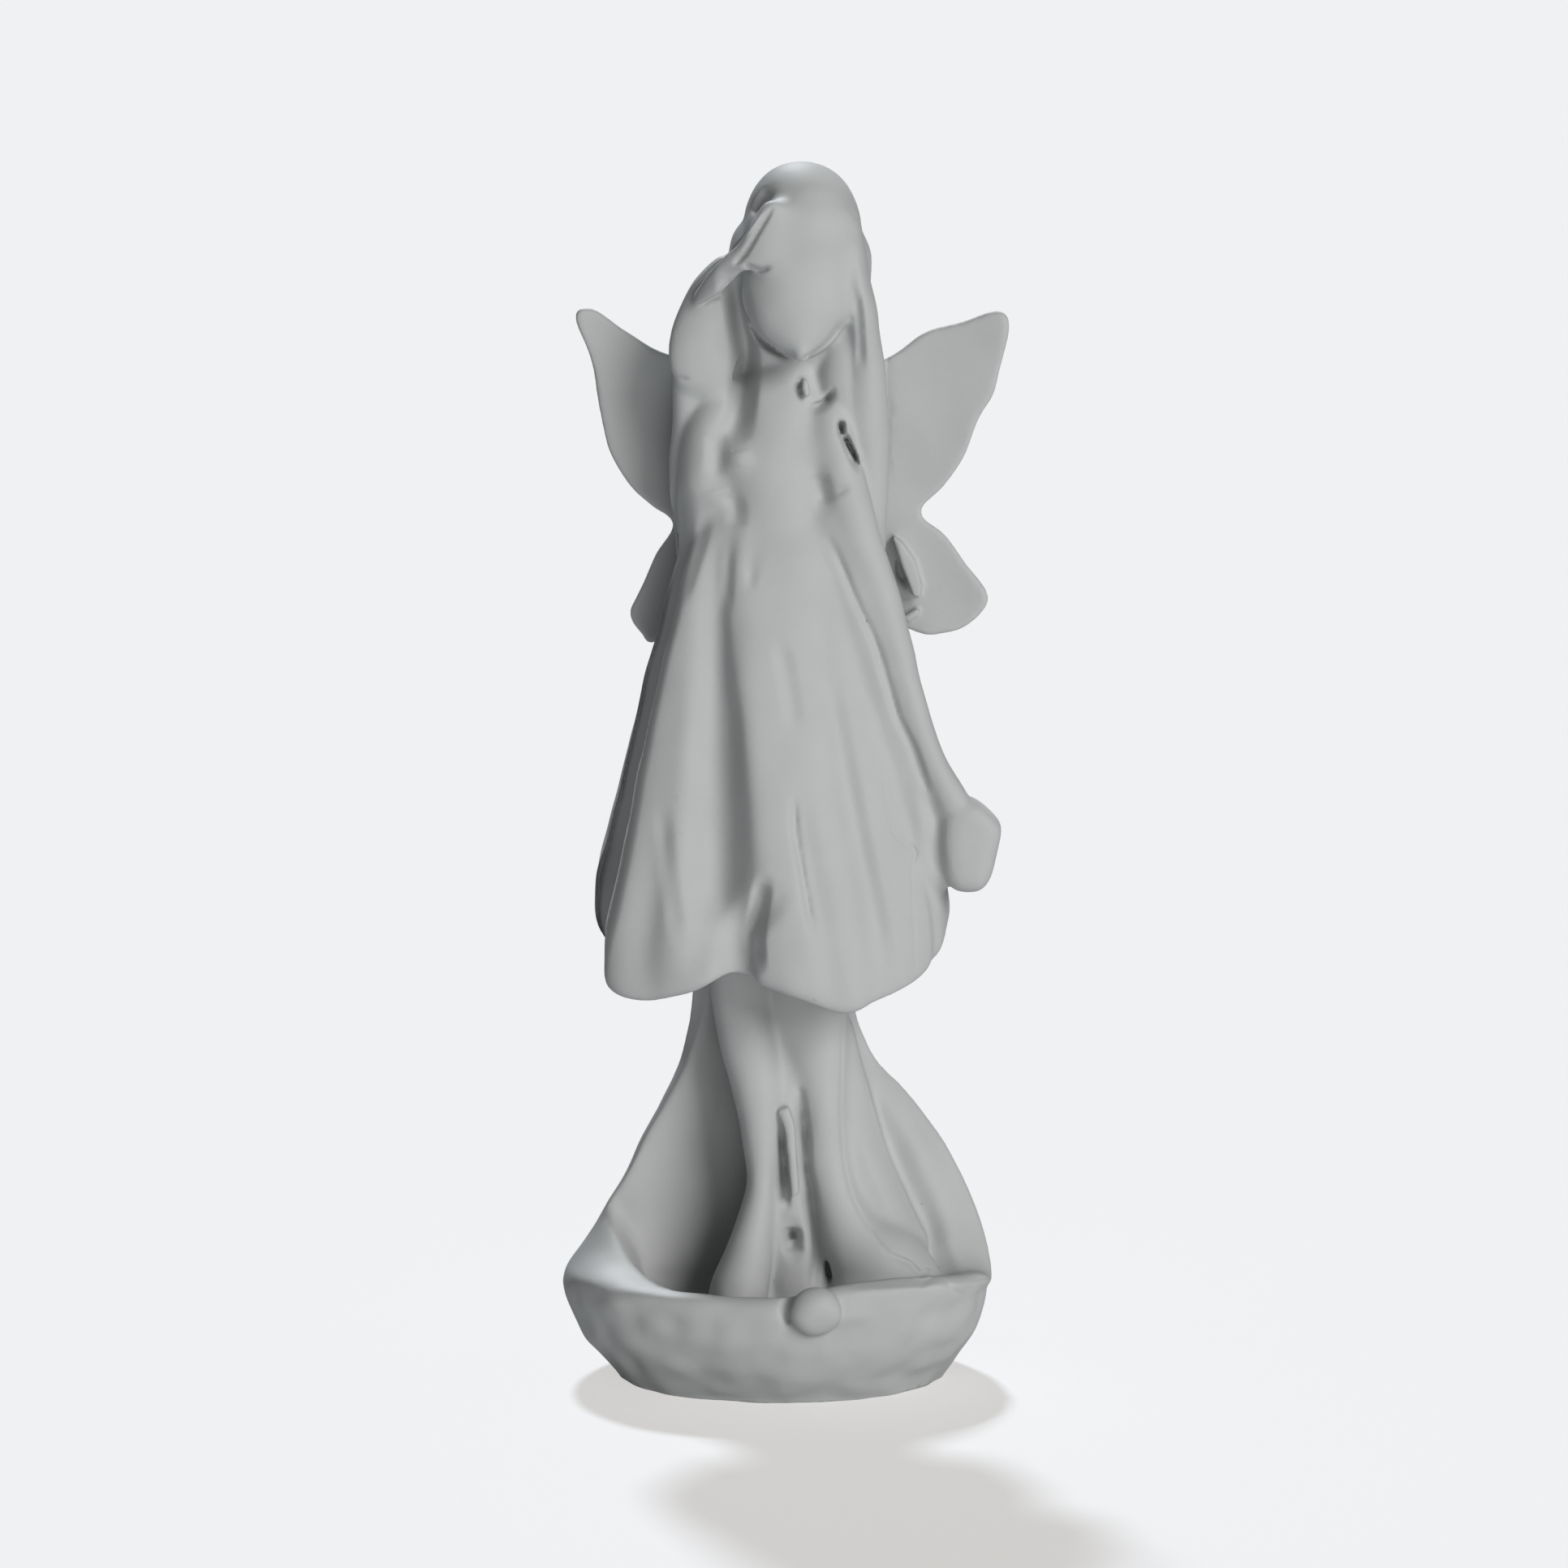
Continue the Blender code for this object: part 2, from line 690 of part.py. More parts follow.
def limb(bm, base, stations, sides=40, rows=54):
    """A tapering limb with rounded ends along (x, y, height from base, half width, half depth) rows."""
    line = spline(stations, rows)
    line[:, 2] += base
    line[:, 3:] = np.maximum(line[:, 3:], 0.2)
    axes = np.gradient(line[:, :3], axis=0)
    axes /= np.linalg.norm(axes, axis=1)[:, None]
    turn = np.linspace(0, 2 * math.pi, sides, endpoint=False)[:, None]
    rings = []
    for place, axis in zip(line, axes):
        side = np.cross((0.0, 1.0, 0.0), axis)
        side /= np.linalg.norm(side)
        depth = np.cross(axis, side)
        rings.append(place[:3] + side * place[3] * np.cos(turn) + depth * place[4] * np.sin(turn))
    start = round_end(rings[0], rings[1])[::-1]
    finish = round_end(rings[-1], rings[-2])
    loft(bm, start + rings + finish)


def ball(bm, centre, radii, sides=36):
    """An ellipsoid."""
    made = bmesh.ops.create_uvsphere(bm, u_segments=sides, v_segments=sides // 2, radius=1.0)
    for v in made["verts"]:
        v.co = Vector([(c + r * k) * MM for c, r, k in zip(centre, radii, v.co)])


def plate(bm, outline, thickness, depth_at, rim):
    """A flat form with rounded edges, cut to an outline of (x, z) points and set back by depth_at(x, z)."""
    curve = bpy.data.curves.new("plate", "CURVE")
    curve.dimensions = "2D"
    curve.fill_mode = "BOTH"
    curve.extrude = (thickness / 2 - rim) * MM
    curve.bevel_depth = rim * MM
    curve.bevel_resolution = 2
    curve.offset = -rim * MM
    line = curve.splines.new("POLY")
    line.points.add(len(outline) - 1)
    for point, (x, z) in zip(line.points, outline):
        point.co = (x * MM, z * MM, 0.0, 1.0)
    line.use_cyclic_u = True
    mesh = evaluated(bpy.data.objects.new("plate", curve), voxel=0.8 * VOXEL)
    for v in mesh.vertices:
        x, z, offset = v.co
        v.co = (x, offset + depth_at(x / MM, z / MM) * MM, z)
    mesh.flip_normals()
    bm.from_mesh(mesh)


def evaluated(obj, voxel=0.0, blend=0.0):
    """The object's mesh after fusing it at a voxel size or softening it; the object is removed."""
    bpy.context.scene.collection.objects.link(obj)
    if voxel:
        fuse = obj.modifiers.new("fuse", "REMESH")
        fuse.mode = "VOXEL"
        fuse.voxel_size = voxel * MM
    if blend:
        soften = obj.modifiers.new("soften", "SMOOTH")
        soften.factor = 0.5
        soften.iterations = max(1, round(2 * (blend / VOXEL) ** 2))
    graph = bpy.context.evaluated_depsgraph_get()
    mesh = bpy.data.meshes.new_from_object(obj.evaluated_get(graph))
    bpy.data.objects.remove(obj)
    return mesh


def fused(bm, blend):
    """All the forms as one closed skin, with their meeting lines softened."""
    bmesh.ops.recalc_face_normals(bm, faces=bm.faces)
    mesh = bpy.data.meshes.new("forms")
    bm.to_mesh(mesh)
    bm.free()
    mesh = evaluated(bpy.data.objects.new("forms", mesh), voxel=VOXEL)
    return evaluated(bpy.data.objects.new("forms", mesh), blend=blend)


def dish(bm, sides=132):
    """A shallow dish with a rolled lip, whose back wall rises as an open petal up to the hem."""
    angle, x, y = full_turn(sides)
    outward = np.stack([x, y, 0 * x], 1)
    right = smooth(x * 1.4)
    back = smooth((np.abs(angle) - 80) / 40)
    foot = outward * (FOOT_HALF_WIDTH, FOOT_HALF_DEPTH, 0) + (FOOT_CENTRE_X, 0, 0)
    belly_height = BELLY_HEIGHT + 2 * np.abs(x)
    belly = np.stack([x * BELLY_HALF_WIDTH + BELLY_CENTRE_X, y * BELLY_HALF_DEPTH, belly_height], 1)
    outer = around(RIM_OUTER, angle)
    inner = around(RIM_INNER, angle)
    floor_y = HOLLOW_CENTRE_Y + y * HOLLOW_HALF_DEPTH - RIGHT_WALL_FORWARD * right * smooth(y)
    floor = np.stack([x * HOLLOW_HALF_WIDTH, floor_y, DISH_FLOOR + RIGHT_FLOOR_RISE * right], 1)
    wall = inner * (0.86, 1, 0.55) + floor * (0, 0, 0.45)
    wall[:, 1] = (inner[:, 1] + floor[:, 1]) / 2 + HOLLOW_DEPTH * back * (1 - right)
    loft(
        bm,
        smooth_rings(
            foot * 0.5 - UP * 4,
            foot * 0.75 - UP * 3.6,
            foot * 0.95 - UP * 2.4,
            foot + UP * 0.6,
            foot + (belly - foot) * 0.45 + outward * 1.8,
            foot + (belly - foot) * 0.8 + outward * 1.2,
            belly,
            belly + (outer - belly) * 0.4 + outward * 0.3,
            belly + (outer - belly) * 0.75 + outward * 0.3,
            outer,
            outer * 0.75 + inner * 0.25 + UP * LIP_ROLL * 0.8,
            outer * 0.45 + inner * 0.55 + UP * LIP_ROLL,
            inner + UP * LIP_ROLL * 0.3,
            inner * 0.55 + wall * 0.45,
            wall,
            wall * (0.5, 0.5, 0.4) + floor * (0.5, 0.5, 0.6),
            floor,
            floor * (0.5, 0.5, 1),
        ),
    )


def fold(keys, share, angle):
    """How far one fold pushes the skirt in, at a share of the way up and at each angle."""
    at, depth, left, right = ease(keys, share)
    off = (angle - at + 180) % 360 - 180
    return depth * smooth(1 - np.where(off < 0, -off / left, off / right))


def back_fold(at):
    """Keys for one of the plain folds round the back of the skirt."""
    width = BACK_FOLD_WIDTH
    depths = ((0.0, BACK_FOLD_DEPTH), (0.5, 0.8 * BACK_FOLD_DEPTH), (1.0, 0.0))
    return [(share, at, depth, width, width) for share, depth in depths]


def skirt_ring(share, angle, x, y):
    """The skirt's outline at a share of the way from hem to waist; above 1 it runs on into the bodice."""
    width = WAIST_HALF_WIDTH + (HEM_HALF_WIDTH - WAIST_HALF_WIDTH) * ease(SKIRT_FLARE, share)[0]
    depth = width * SKIRT_DEPTH_RATIO
    x = np.sign(x) * np.abs(x) ** SKIRT_SQUARENESS
    y = np.sign(y) * np.abs(y) ** SKIRT_SQUARENESS
    folds = [*SKIRT_FOLDS.values(), *(back_fold(at) for at in BACK_FOLD_ANGLES)]
    push = sum(fold(keys, share, angle) for keys in folds)
    outward = np.stack([x / width, y / depth], 1)
    outward /= np.linalg.norm(outward, axis=1)[:, None]
    hem = HEM + around(HEM_WAVE, angle)[:, 0]
    across = SKIRT_CENTRE_X + width * x - push * outward[:, 0]
    away = SKIRT_CENTRE_Y + depth * y - push * outward[:, 1]
    return np.stack([across, away, hem + (WAIST - hem) * share], 1)


def skirt(bm, sides=300, rows=48):
    """The pleated skirt, with a rounded hem and a shallow recess under it."""
    angle, x, y = full_turn(sides)
    centre = np.array([SKIRT_CENTRE_X, SKIRT_CENTRE_Y, 0.0])
    hem = skirt_ring(0.0, angle, x, y)
    inward = inward_from(hem, centre)
    under = [
        centre + (hem - centre) * (0.3, 0.3, 1) + UP * (HEM_RECESS + 1),
        centre + (hem - centre) * (0.6, 0.6, 1) + UP * HEM_RECESS,
        hem + inward * (HEM_LIP + 2) + UP * (HEM_RECESS - 1.5),
        hem + inward * HEM_LIP + UP * 1.5,
        hem + inward * HEM_LIP * 0.55,
        hem + inward * HEM_LIP * 0.15 + UP * 0.9,
    ]
    loft(bm, under + [skirt_ring(share, angle, x, y) for share in np.linspace(0.03, SKIRT_REACH, rows)])


def wings(bm):
    """Two pairs of butterfly wings, dished so that their tips turn towards the viewer."""

    def depth_at(x, z):
        reach = abs(x) / 42.0
        return WING_SETBACK + WING_DISH * reach - (WING_DISH + 2.0) * reach**2

    for outline in WINGS.values():
        edge = closed_spline([(x, WAIST + height) for x, height in outline], 140)
        plate(bm, [tuple(p) for p in edge], WING_THICKNESS, depth_at, rim=0.35)


def swept_lock(bm):
    """The lock of hair swept across the brow, which stands off the head along its top edge."""

    def depth_at(x, z):
        sunk = 0.35 * max(0.0, x + 3.0)
        return -18.8 + 0.028 * (x - 1.5) ** 2 + 0.055 * abs(z - CROWN + 14.0) + sunk

    edge = closed_spline([(x, CROWN + height) for x, height in SWEPT_LOCK], 90)
    plate(bm, [tuple(p) for p in edge], LOCK_THICKNESS, depth_at, rim=0.9)


def purse(bm):
    """The small purse held at the skirt's side."""
    edge = closed_spline([(x, SHOULDER + height) for x, height in PURSE], 60)
    plate(bm, [tuple(p) for p in edge], PURSE_THICKNESS, lambda x, z: PURSE_Y, rim=3.4)


def limbs_and_masses(bm, limbs, masses):
    """Limbs and the rounded masses that belong with them."""
    for base, stations in limbs.values():
        limb(bm, base, stations)
    for base, (x, y, height), radii in masses.values():
        ball(bm, (x, y, base + height), radii)


def slivers(bm):
    """The small raised slivers left on the casting, each rooted in the body behind it."""
    for top_y, bottom_y, outline in SLIVERS.values():
        top = max(z for _, z in outline)
        bottom = min(z for _, z in outline)

        def depth_at(x, z, top=top, bottom=bottom, top_y=top_y, bottom_y=bottom_y):
            return bottom_y + (top_y - bottom_y) * (z - bottom) / (top - bottom) + SLIVER_REACH / 2

        plate(bm, outline, SLIVER_REACH, depth_at, rim=0.3)


def distance_to(line, flat):
    """Distance of each (x, z) point to a line of points."""
    gap = np.full(len(flat), np.inf)
    for start, end in zip(line, line[1:]):
        run = end - start
        along = np.clip((flat - start) @ run / max(run @ run, 1e-9), 0, 1)
        gap = np.minimum(gap, np.linalg.norm(flat - start - along[:, None] * run, axis=1))
    return gap


def press(mesh):
    """Pushes the front of the casting back along each stroke, deepest on its line."""
    count = len(mesh.vertices)
    spots = np.empty(count * 3)
    mesh.vertices.foreach_get("co", spots)
    spots = spots.reshape(-1, 3) / MM
    facing = np.empty(count * 3)
    mesh.vertex_normals.foreach_get("vector", facing)
    front = np.clip(-2.5 * facing.reshape(-1, 3)[:, 1], 0, 1)
    push = np.zeros(count)
    for depth, radius, furthest, points in STROKES.values():
        line = spline(points, 6 * len(points))
        flat = spots[:, (0, 2)]
        inside = np.all((flat > line.min(0) - radius) & (flat < line.max(0) + radius), axis=1)
        near = np.flatnonzero(inside & (spots[:, 1] < furthest))
        amount = depth * smooth(1 - distance_to(line, flat[near]) / radius)
        push[near] = np.maximum(push[near], amount)
    spots[:, 1] += push * front
    mesh.vertices.foreach_set("co", (spots * MM).ravel())


def reduced(mesh):
    """The mesh with no more triangles than the budget, finest where it curves most."""
    holder = bpy.data.objects.new("holder", mesh)
    bpy.context.scene.collection.objects.link(holder)
    reduce = holder.modifiers.new("reduce", "DECIMATE")
    reduce.ratio = min(1.0, MOST_TRIANGLES / (2 * len(mesh.polygons)))
    reduce.use_collapse_triangulate = True
    graph = bpy.context.evaluated_depsgraph_get()
    small = bpy.data.meshes.new_from_object(holder.evaluated_get(graph))
    bpy.data.objects.remove(holder)
    return small


def keep_outer_skin(bm):
    """Removes the skins of gaps shut inside the casting, which leaves its one outer skin."""
    unseen = set(bm.faces)
    skins = []
    while unseen:
        skin = {unseen.pop()}
        edge = list(skin)
        while edge:
            fresh = {f for e in edge.pop().edges for f in e.link_faces} - skin
            skin |= fresh
            edge.extend(fresh)
        unseen -= skin
        skins.append(skin)
    skins.sort(key=len)
    for skin in skins[:-1]:
        bmesh.ops.delete(bm, geom=list(skin), context="FACES")


def cut_flat(mesh):
    """Slices the casting off at its underside, which leaves one flat face to stand on."""
    bm = bmesh.new()
    bm.from_mesh(mesh)
    keep_outer_skin(bm)
    geometry = bm.verts[:] + bm.edges[:] + bm.faces[:]
    below = {"plane_co": (0, 0, 0), "plane_no": (0, 0, -1)}
    cut = bmesh.ops.bisect_plane(bm, geom=geometry, clear_outer=True, **below)
    edges = [e for e in cut["geom_cut"] if isinstance(e, bmesh.types.BMEdge)]
    bmesh.ops.holes_fill(bm, edges=edges, sides=0)
    bmesh.ops.triangulate(bm, faces=bm.faces[:])
    bm.to_mesh(mesh)
    bm.free()


def casting():
    """The whole figurine as one solid: fused, pressed, then given its bead and slivers."""
    bm = bmesh.new()
    skirt(bm)
    limbs_and_masses(bm, BODY_LIMBS, BODY_MASSES)
    mesh = fused(bm, BODY_BLEND)
    bm = bmesh.new()
    bm.from_mesh(mesh)
    limbs_and_masses(bm, HEAD_LIMBS, HEAD_MASSES)
    for form in (dish, swept_lock, purse, wings):
        form(bm)
    mesh = fused(bm, BLEND)
    press(mesh)
    bm = bmesh.new()
    bm.from_mesh(mesh)
    ball(bm, *RIM_BEAD)
    slivers(bm)
    mesh = reduced(fused(bm, CREASE_BLEND))
    cut_flat(mesh)
    mesh.shade_smooth()
    return mesh


def resin():
    """Plain pale grey casting resin."""
    material = bpy.data.materials.new("grey_resin")
    material.use_nodes = True
    shader = material.node_tree.nodes["Principled BSDF"]
    shader.inputs["Base Color"].default_value = (0.47, 0.48, 0.475, 1.0)
    shader.inputs["Roughness"].default_value = 0.65
    shader.inputs["Metallic"].default_value = 0.0
    return material


for old in list(bpy.data.objects):
    bpy.data.objects.remove(old)
figurine = bpy.data.objects.new("fairy_figurine", casting())
figurine.data.materials.clear()
figurine.data.materials.append(resin())
bpy.context.scene.collection.objects.link(figurine)
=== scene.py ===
"""Looks of the cast fairy figurine: the CAD casting's forms, fused more finely, with its small marks.

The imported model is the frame. The figurine is modelled again at a finer size from the same named
sizes, pressed and raised along more strokes, and stands for the CAD node. Sizes are in millimetres
until the mesh is made. X runs to the viewer's right, Y away from the viewer, Z up.
"""

import math

import bmesh
import bpy
import numpy as np
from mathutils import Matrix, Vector, noise


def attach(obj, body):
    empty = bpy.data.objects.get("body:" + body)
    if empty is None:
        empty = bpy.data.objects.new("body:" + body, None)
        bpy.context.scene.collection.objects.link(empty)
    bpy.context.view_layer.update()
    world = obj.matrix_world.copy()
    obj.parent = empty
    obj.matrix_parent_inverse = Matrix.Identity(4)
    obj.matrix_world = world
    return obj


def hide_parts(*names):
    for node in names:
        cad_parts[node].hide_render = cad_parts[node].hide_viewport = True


MM = 0.001

# How finely the casting is fused, and its triangle budget
VOXEL = 0.45
MOST_TRIANGLES = 196000

# The photograph's camera: how many degrees it looks down, then in metres how far it stands from the
# point it looks at and how high that point is
CAMERA_ELEVATION = 8.0
CAMERA_DISTANCE = 1.022
CAMERA_TARGET_HEIGHT = 0.1177
CAMERA_LENS = 120.0
CAMERA_SENSOR = 36.0
CAMERA_NEAR = 0.01
CAMERA_FAR = 200.0

# The studio: the pale surroundings and the floor as the camera sees them, the share of light that the
# floor throws back up, and the even light. Then each lamp as (direction it comes from, strength, how
# wide it looks in degrees, colour), the one lamp that lights the floor too, and the floor's width
BACKDROP = (0.871, 0.879, 0.896)
FLOOR_LIT = (0.417, 0.425, 0.457)
FLOOR_GLOW = (0.585, 0.575, 0.557)
FLOOR_BOUNCE = 0.45
AMBIENT = 0.10
AMBIENT_TINT = (0.95, 0.98, 1.0)
LAMPS = {
    "key": ((0.8, -1.0, 0.6), 1.9, 32.0, (1.0, 0.995, 0.985)),
    "low_fill": ((0.35, -1.0, -0.35), 1.3, 50.0, (1.0, 1.0, 1.0)),
    "top_back": ((-0.15, 0.95, 1.0), 2.8, 6.0, (0.92, 0.96, 1.0)),
}
SHARED_LAMP = "top_back"
FLOOR_SPAN = 60.0

# The resin: its darker and paler tone and where each lies in the mottle, how matte it is, how fine its
# mottle and grain are, and how strong and how deep the grain is
RESIN_TONES = ((0.455, 0.463, 0.462), (0.485, 0.494, 0.490))
RESIN_TONE_PLACES = (0.3, 0.7)
RESIN_ROUGHNESS = 0.62
RESIN_SPECULAR = 0.35
MOTTLE_SCALE = 60.0
MOTTLE_DETAIL = 5.0
GRAIN_SCALE = 1400.0
GRAIN_DETAIL = 3.0
SPECKLE_ROUGHNESS = 0.6
GRAIN_STRENGTH = 0.06
GRAIN_DEPTH = 0.0003

# Heights of the landmarks above the flat underside
DISH_FLOOR = 15.0
HEM = 80.0
WAIST = 166.0
SHOULDER = 192.0
CHIN = 202.3
CROWN = 238.8

# The dish and the petal that rises behind the legs
FOOT_HALF_WIDTH = 32.5
FOOT_HALF_DEPTH = 25.5
FOOT_CENTRE_X = -0.6
BELLY_HALF_WIDTH = 42.0
BELLY_HALF_DEPTH = 34.0
BELLY_CENTRE_X = -1.7
BELLY_HEIGHT = 16.0
LIP_ROLL = 1.2
HOLLOW_HALF_WIDTH = 26.0
HOLLOW_HALF_DEPTH = 12.5
HOLLOW_CENTRE_Y = -8.0
HOLLOW_DEPTH = 2.0
RIGHT_FLOOR_RISE = 6.0
RIGHT_WALL_FORWARD = 7.5

# The dress
SKIRT_CENTRE_X = -2.4
SKIRT_CENTRE_Y = -1.0
SKIRT_DEPTH_RATIO = 0.78
SKIRT_SQUARENESS = 0.78
HEM_HALF_WIDTH = 34.4
WAIST_HALF_WIDTH = 12.7
HEM_LIP = 4.0
HEM_RECESS = 7.0
BACK_FOLD_ANGLES = (-148, -113, 112, 146, 180)
BACK_FOLD_DEPTH = 2.4
BACK_FOLD_WIDTH = 13.0

# The thin parts: how thick each is, how round its edge is, and where it lies behind or before the
# middle. The swept lock bends back to both sides of one line and sinks into the head at its right
WING_THICKNESS = 2.4
WING_EDGE = 0.35
WING_HALF_SPAN = 42.0
WING_SETBACK = 13.0
WING_DISH = 3.0
WING_TIP_TURN = 2.0
LOCK_THICKNESS = 4.0
LOCK_EDGE = 0.9
LOCK_Y = -18.8
LOCK_BEND = 0.028
LOCK_BEND_X = 1.5
LOCK_LEAN = 0.055
LOCK_LEAN_DROP = 14.0
LOCK_SINK = 0.35
LOCK_SINK_X = 3.0
PURSE_THICKNESS = 11.0
PURSE_EDGE = 3.4
PURSE_Y = -12.0
SLIVER_REACH = 5.0
SLIVER_EDGE = 0.3
PLATE_VOXEL = 0.8 * VOXEL
PLATE_EDGE_STEPS = 2

# How far the meeting lines of the forms are softened
BODY_BLEND = 2.0
BLEND = 1.2
CREASE_BLEND = 0.45

# The rim's outer and inner edges: angle round the dish from the front, then x, y and height
RIM_OUTER = [
    (0, 0.0, -33.5, 21.4),
    (-25, -15.0, -31.5, 21.6),
    (-45, -27.0, -26.5, 21.8),
    (-62, -36.0, -18.5, 22.0),
    (-78, -41.0, -10.0, 22.0),
    (-92, -42.3, -2.0, 22.6),
    (-105, -38.0, 2.5, 28.0),
    (-118, -33.4, 3.5, 35.5),
    (-130, -28.6, 4.5, 45.5),
    (-142, -22.2, 5.0, 57.5),
    (-155, -18.8, 5.5, 69.0),
    (-168, -16.2, 6.0, 80.0),
    (180, -1.0, 6.5, 86.0),
    (170, 12.6, 6.0, 80.0),
    (160, 14.4, 5.5, 70.5),
    (150, 18.0, 5.0, 62.2),
    (139, 24.2, 4.0, 55.4),
    (127, 31.4, 3.0, 46.6),
    (115, 36.6, 2.0, 36.5),
    (103, 40.0, 0.5, 27.5),
    (90, 41.0, -3.0, 20.5),
    (76, 39.6, -12.0, 21.4),
    (62, 35.0, -20.0, 22.6),
    (45, 26.5, -27.0, 23.4),
    (25, 15.0, -31.8, 23.4),
]
RIM_INNER = [
    (0, 0.0, -29.6, 21.8),
    (-25, -12.0, -27.6, 21.2),
    (-45, -20.0, -23.0, 21.0),
    (-62, -26.0, -17.0, 22.6),
    (-78, -30.4, -11.0, 25.2),
    (-92, -33.0, -5.0, 29.6),
    (-105, -34.2, 0.0, 34.0),
    (-118, -31.0, 0.5, 39.0),
    (-130, -26.4, 1.0, 47.6),
    (-142, -19.4, 1.5, 59.5),
    (-155, -15.8, 2.0, 69.5),
    (-168, -12.0, 2.0, 80.0),
    (180, -1.0, 2.5, 86.0),
    (170, 9.6, 2.0, 80.0),
    (160, 11.8, 1.0, 69.0),
    (150, 14.0, 0.0, 59.5),
    (139, 19.4, -1.5, 52.4),
    (127, 25.0, -3.0, 44.4),
    (115, 29.4, -4.0, 35.0),
    (103, 32.8, -6.0, 27.0),
    (90, 34.6, -9.0, 22.6),
    (76, 32.6, -14.0, 22.4),
    (62, 27.0, -19.0, 23.0),
    (45, 20.5, -23.5, 23.8),
    (25, 12.0, -28.0, 23.8),
]

# Where the hem hangs above or below its mean height, by angle round the skirt from the front
HEM_WAVE = [
    (-165, 9.0),
    (-88, 9.5),
    (-74, 5.0),
    (-60, 0.0),
    (-42, -1.9),
    (-22, 0.4),
    (-9, 3.4),
    (4, 0.0),
    (15, -3.1),
    (31, -2.0),
    (50, 0.7),
    (68, 4.6),
    (90, 9.5),
    (140, 9.0),
]

# Share of the hem's extra width over the waist that is left, by share of the way up the skirt. Its
# side starts above the rounded hem and runs on into the bodice
SKIRT_FLARE = [
    (0.0, 1.02),
    (0.12, 1.0),
    (0.25, 0.885),
    (0.5, 0.68),
    (0.75, 0.455),
    (0.88, 0.34),
    (1.0, 0.19),
    (1.14, -0.15),
]
HEM_ROUNDING = 0.03
SKIRT_REACH = 1.14

# Folds of the skirt: share of the way up, angle, depth, then how many degrees it spreads to each side
SKIRT_FOLDS = {
    "main_valley": [
        (0.02, -12, 0.0, 12, 9),
        (0.12, -12.5, 3.4, 15, 10),
        (0.25, -14, 6.2, 18, 13),
        (0.5, -17, 5.4, 18, 14),
        (0.8, -25, 2.8, 16, 11),
        (1.0, -31, 1.0, 14, 9),
    ],
    "hem_gather": [
        (0.0, -5, 5.0, 12, 3),
        (0.1, -5, 4.8, 10, 3),
        (0.2, -0.5, 1.8, 8, 3),
        (0.27, 1, 0.0, 6, 4),
        (1.0, 1, 0.0, 6, 4),
    ],
    "left_crease": [
        (0.0, -68, 4.2, 18, 3.5),
        (0.25, -68, 4.2, 18, 3.5),
        (0.5, -68, 3.8, 18, 4),
        (0.8, -70, 2.6, 16, 5),
        (1.0, -72, 0.8, 14, 8),
    ],
    "left_corner": [
        (0.0, -58, -2.2, 9, 24),
        (0.5, -58, -1.9, 9, 24),
        (0.88, -54, -1.2, 9, 22),
        (1.0, -52, -0.4, 9, 20),
    ],
    "centre_valley": [
        (0.0, 14, 0.4, 5, 7),
        (0.12, 12, 0.8, 4, 6),
        (0.3, 8.5, 1.3, 3, 6),
        (0.42, 7, 0.7, 3, 4),
        (0.5, 6, 0.0, 3, 4),
        (1.0, 6, 0.0, 3, 4),
    ],
    "right_valley": [
        (0.0, 31, 0.7, 9, 9),
        (0.15, 30, 1.5, 8, 9),
        (0.4, 26, 1.2, 7, 9),
        (0.7, 22, 0.4, 7, 9),
        (1.0, 22, 0.0, 7, 9),
    ],
    "right_crease": [
        (0.0, 63, 1.0, 2, 7),
        (0.25, 63, 1.0, 2, 7),
        (0.4, 61, 0.0, 2, 7),
        (1.0, 61, 0.0, 2, 7),
    ],
    "left_panel": [
        (0.0, -40, 0.3, 10, 10),
        (0.2, -41, 0.8, 10, 10),
        (0.45, -43, 0.1, 10, 10),
        (1.0, -43, 0.0, 10, 10),
    ],
    "front_panel": [
        (0.0, 4, -2.6, 9, 36),
        (0.3, 0, -2.6, 9, 36),
        (0.6, -4, -1.6, 10, 36),
        (1.0, -8, 0.0, 12, 36),
    ],
}

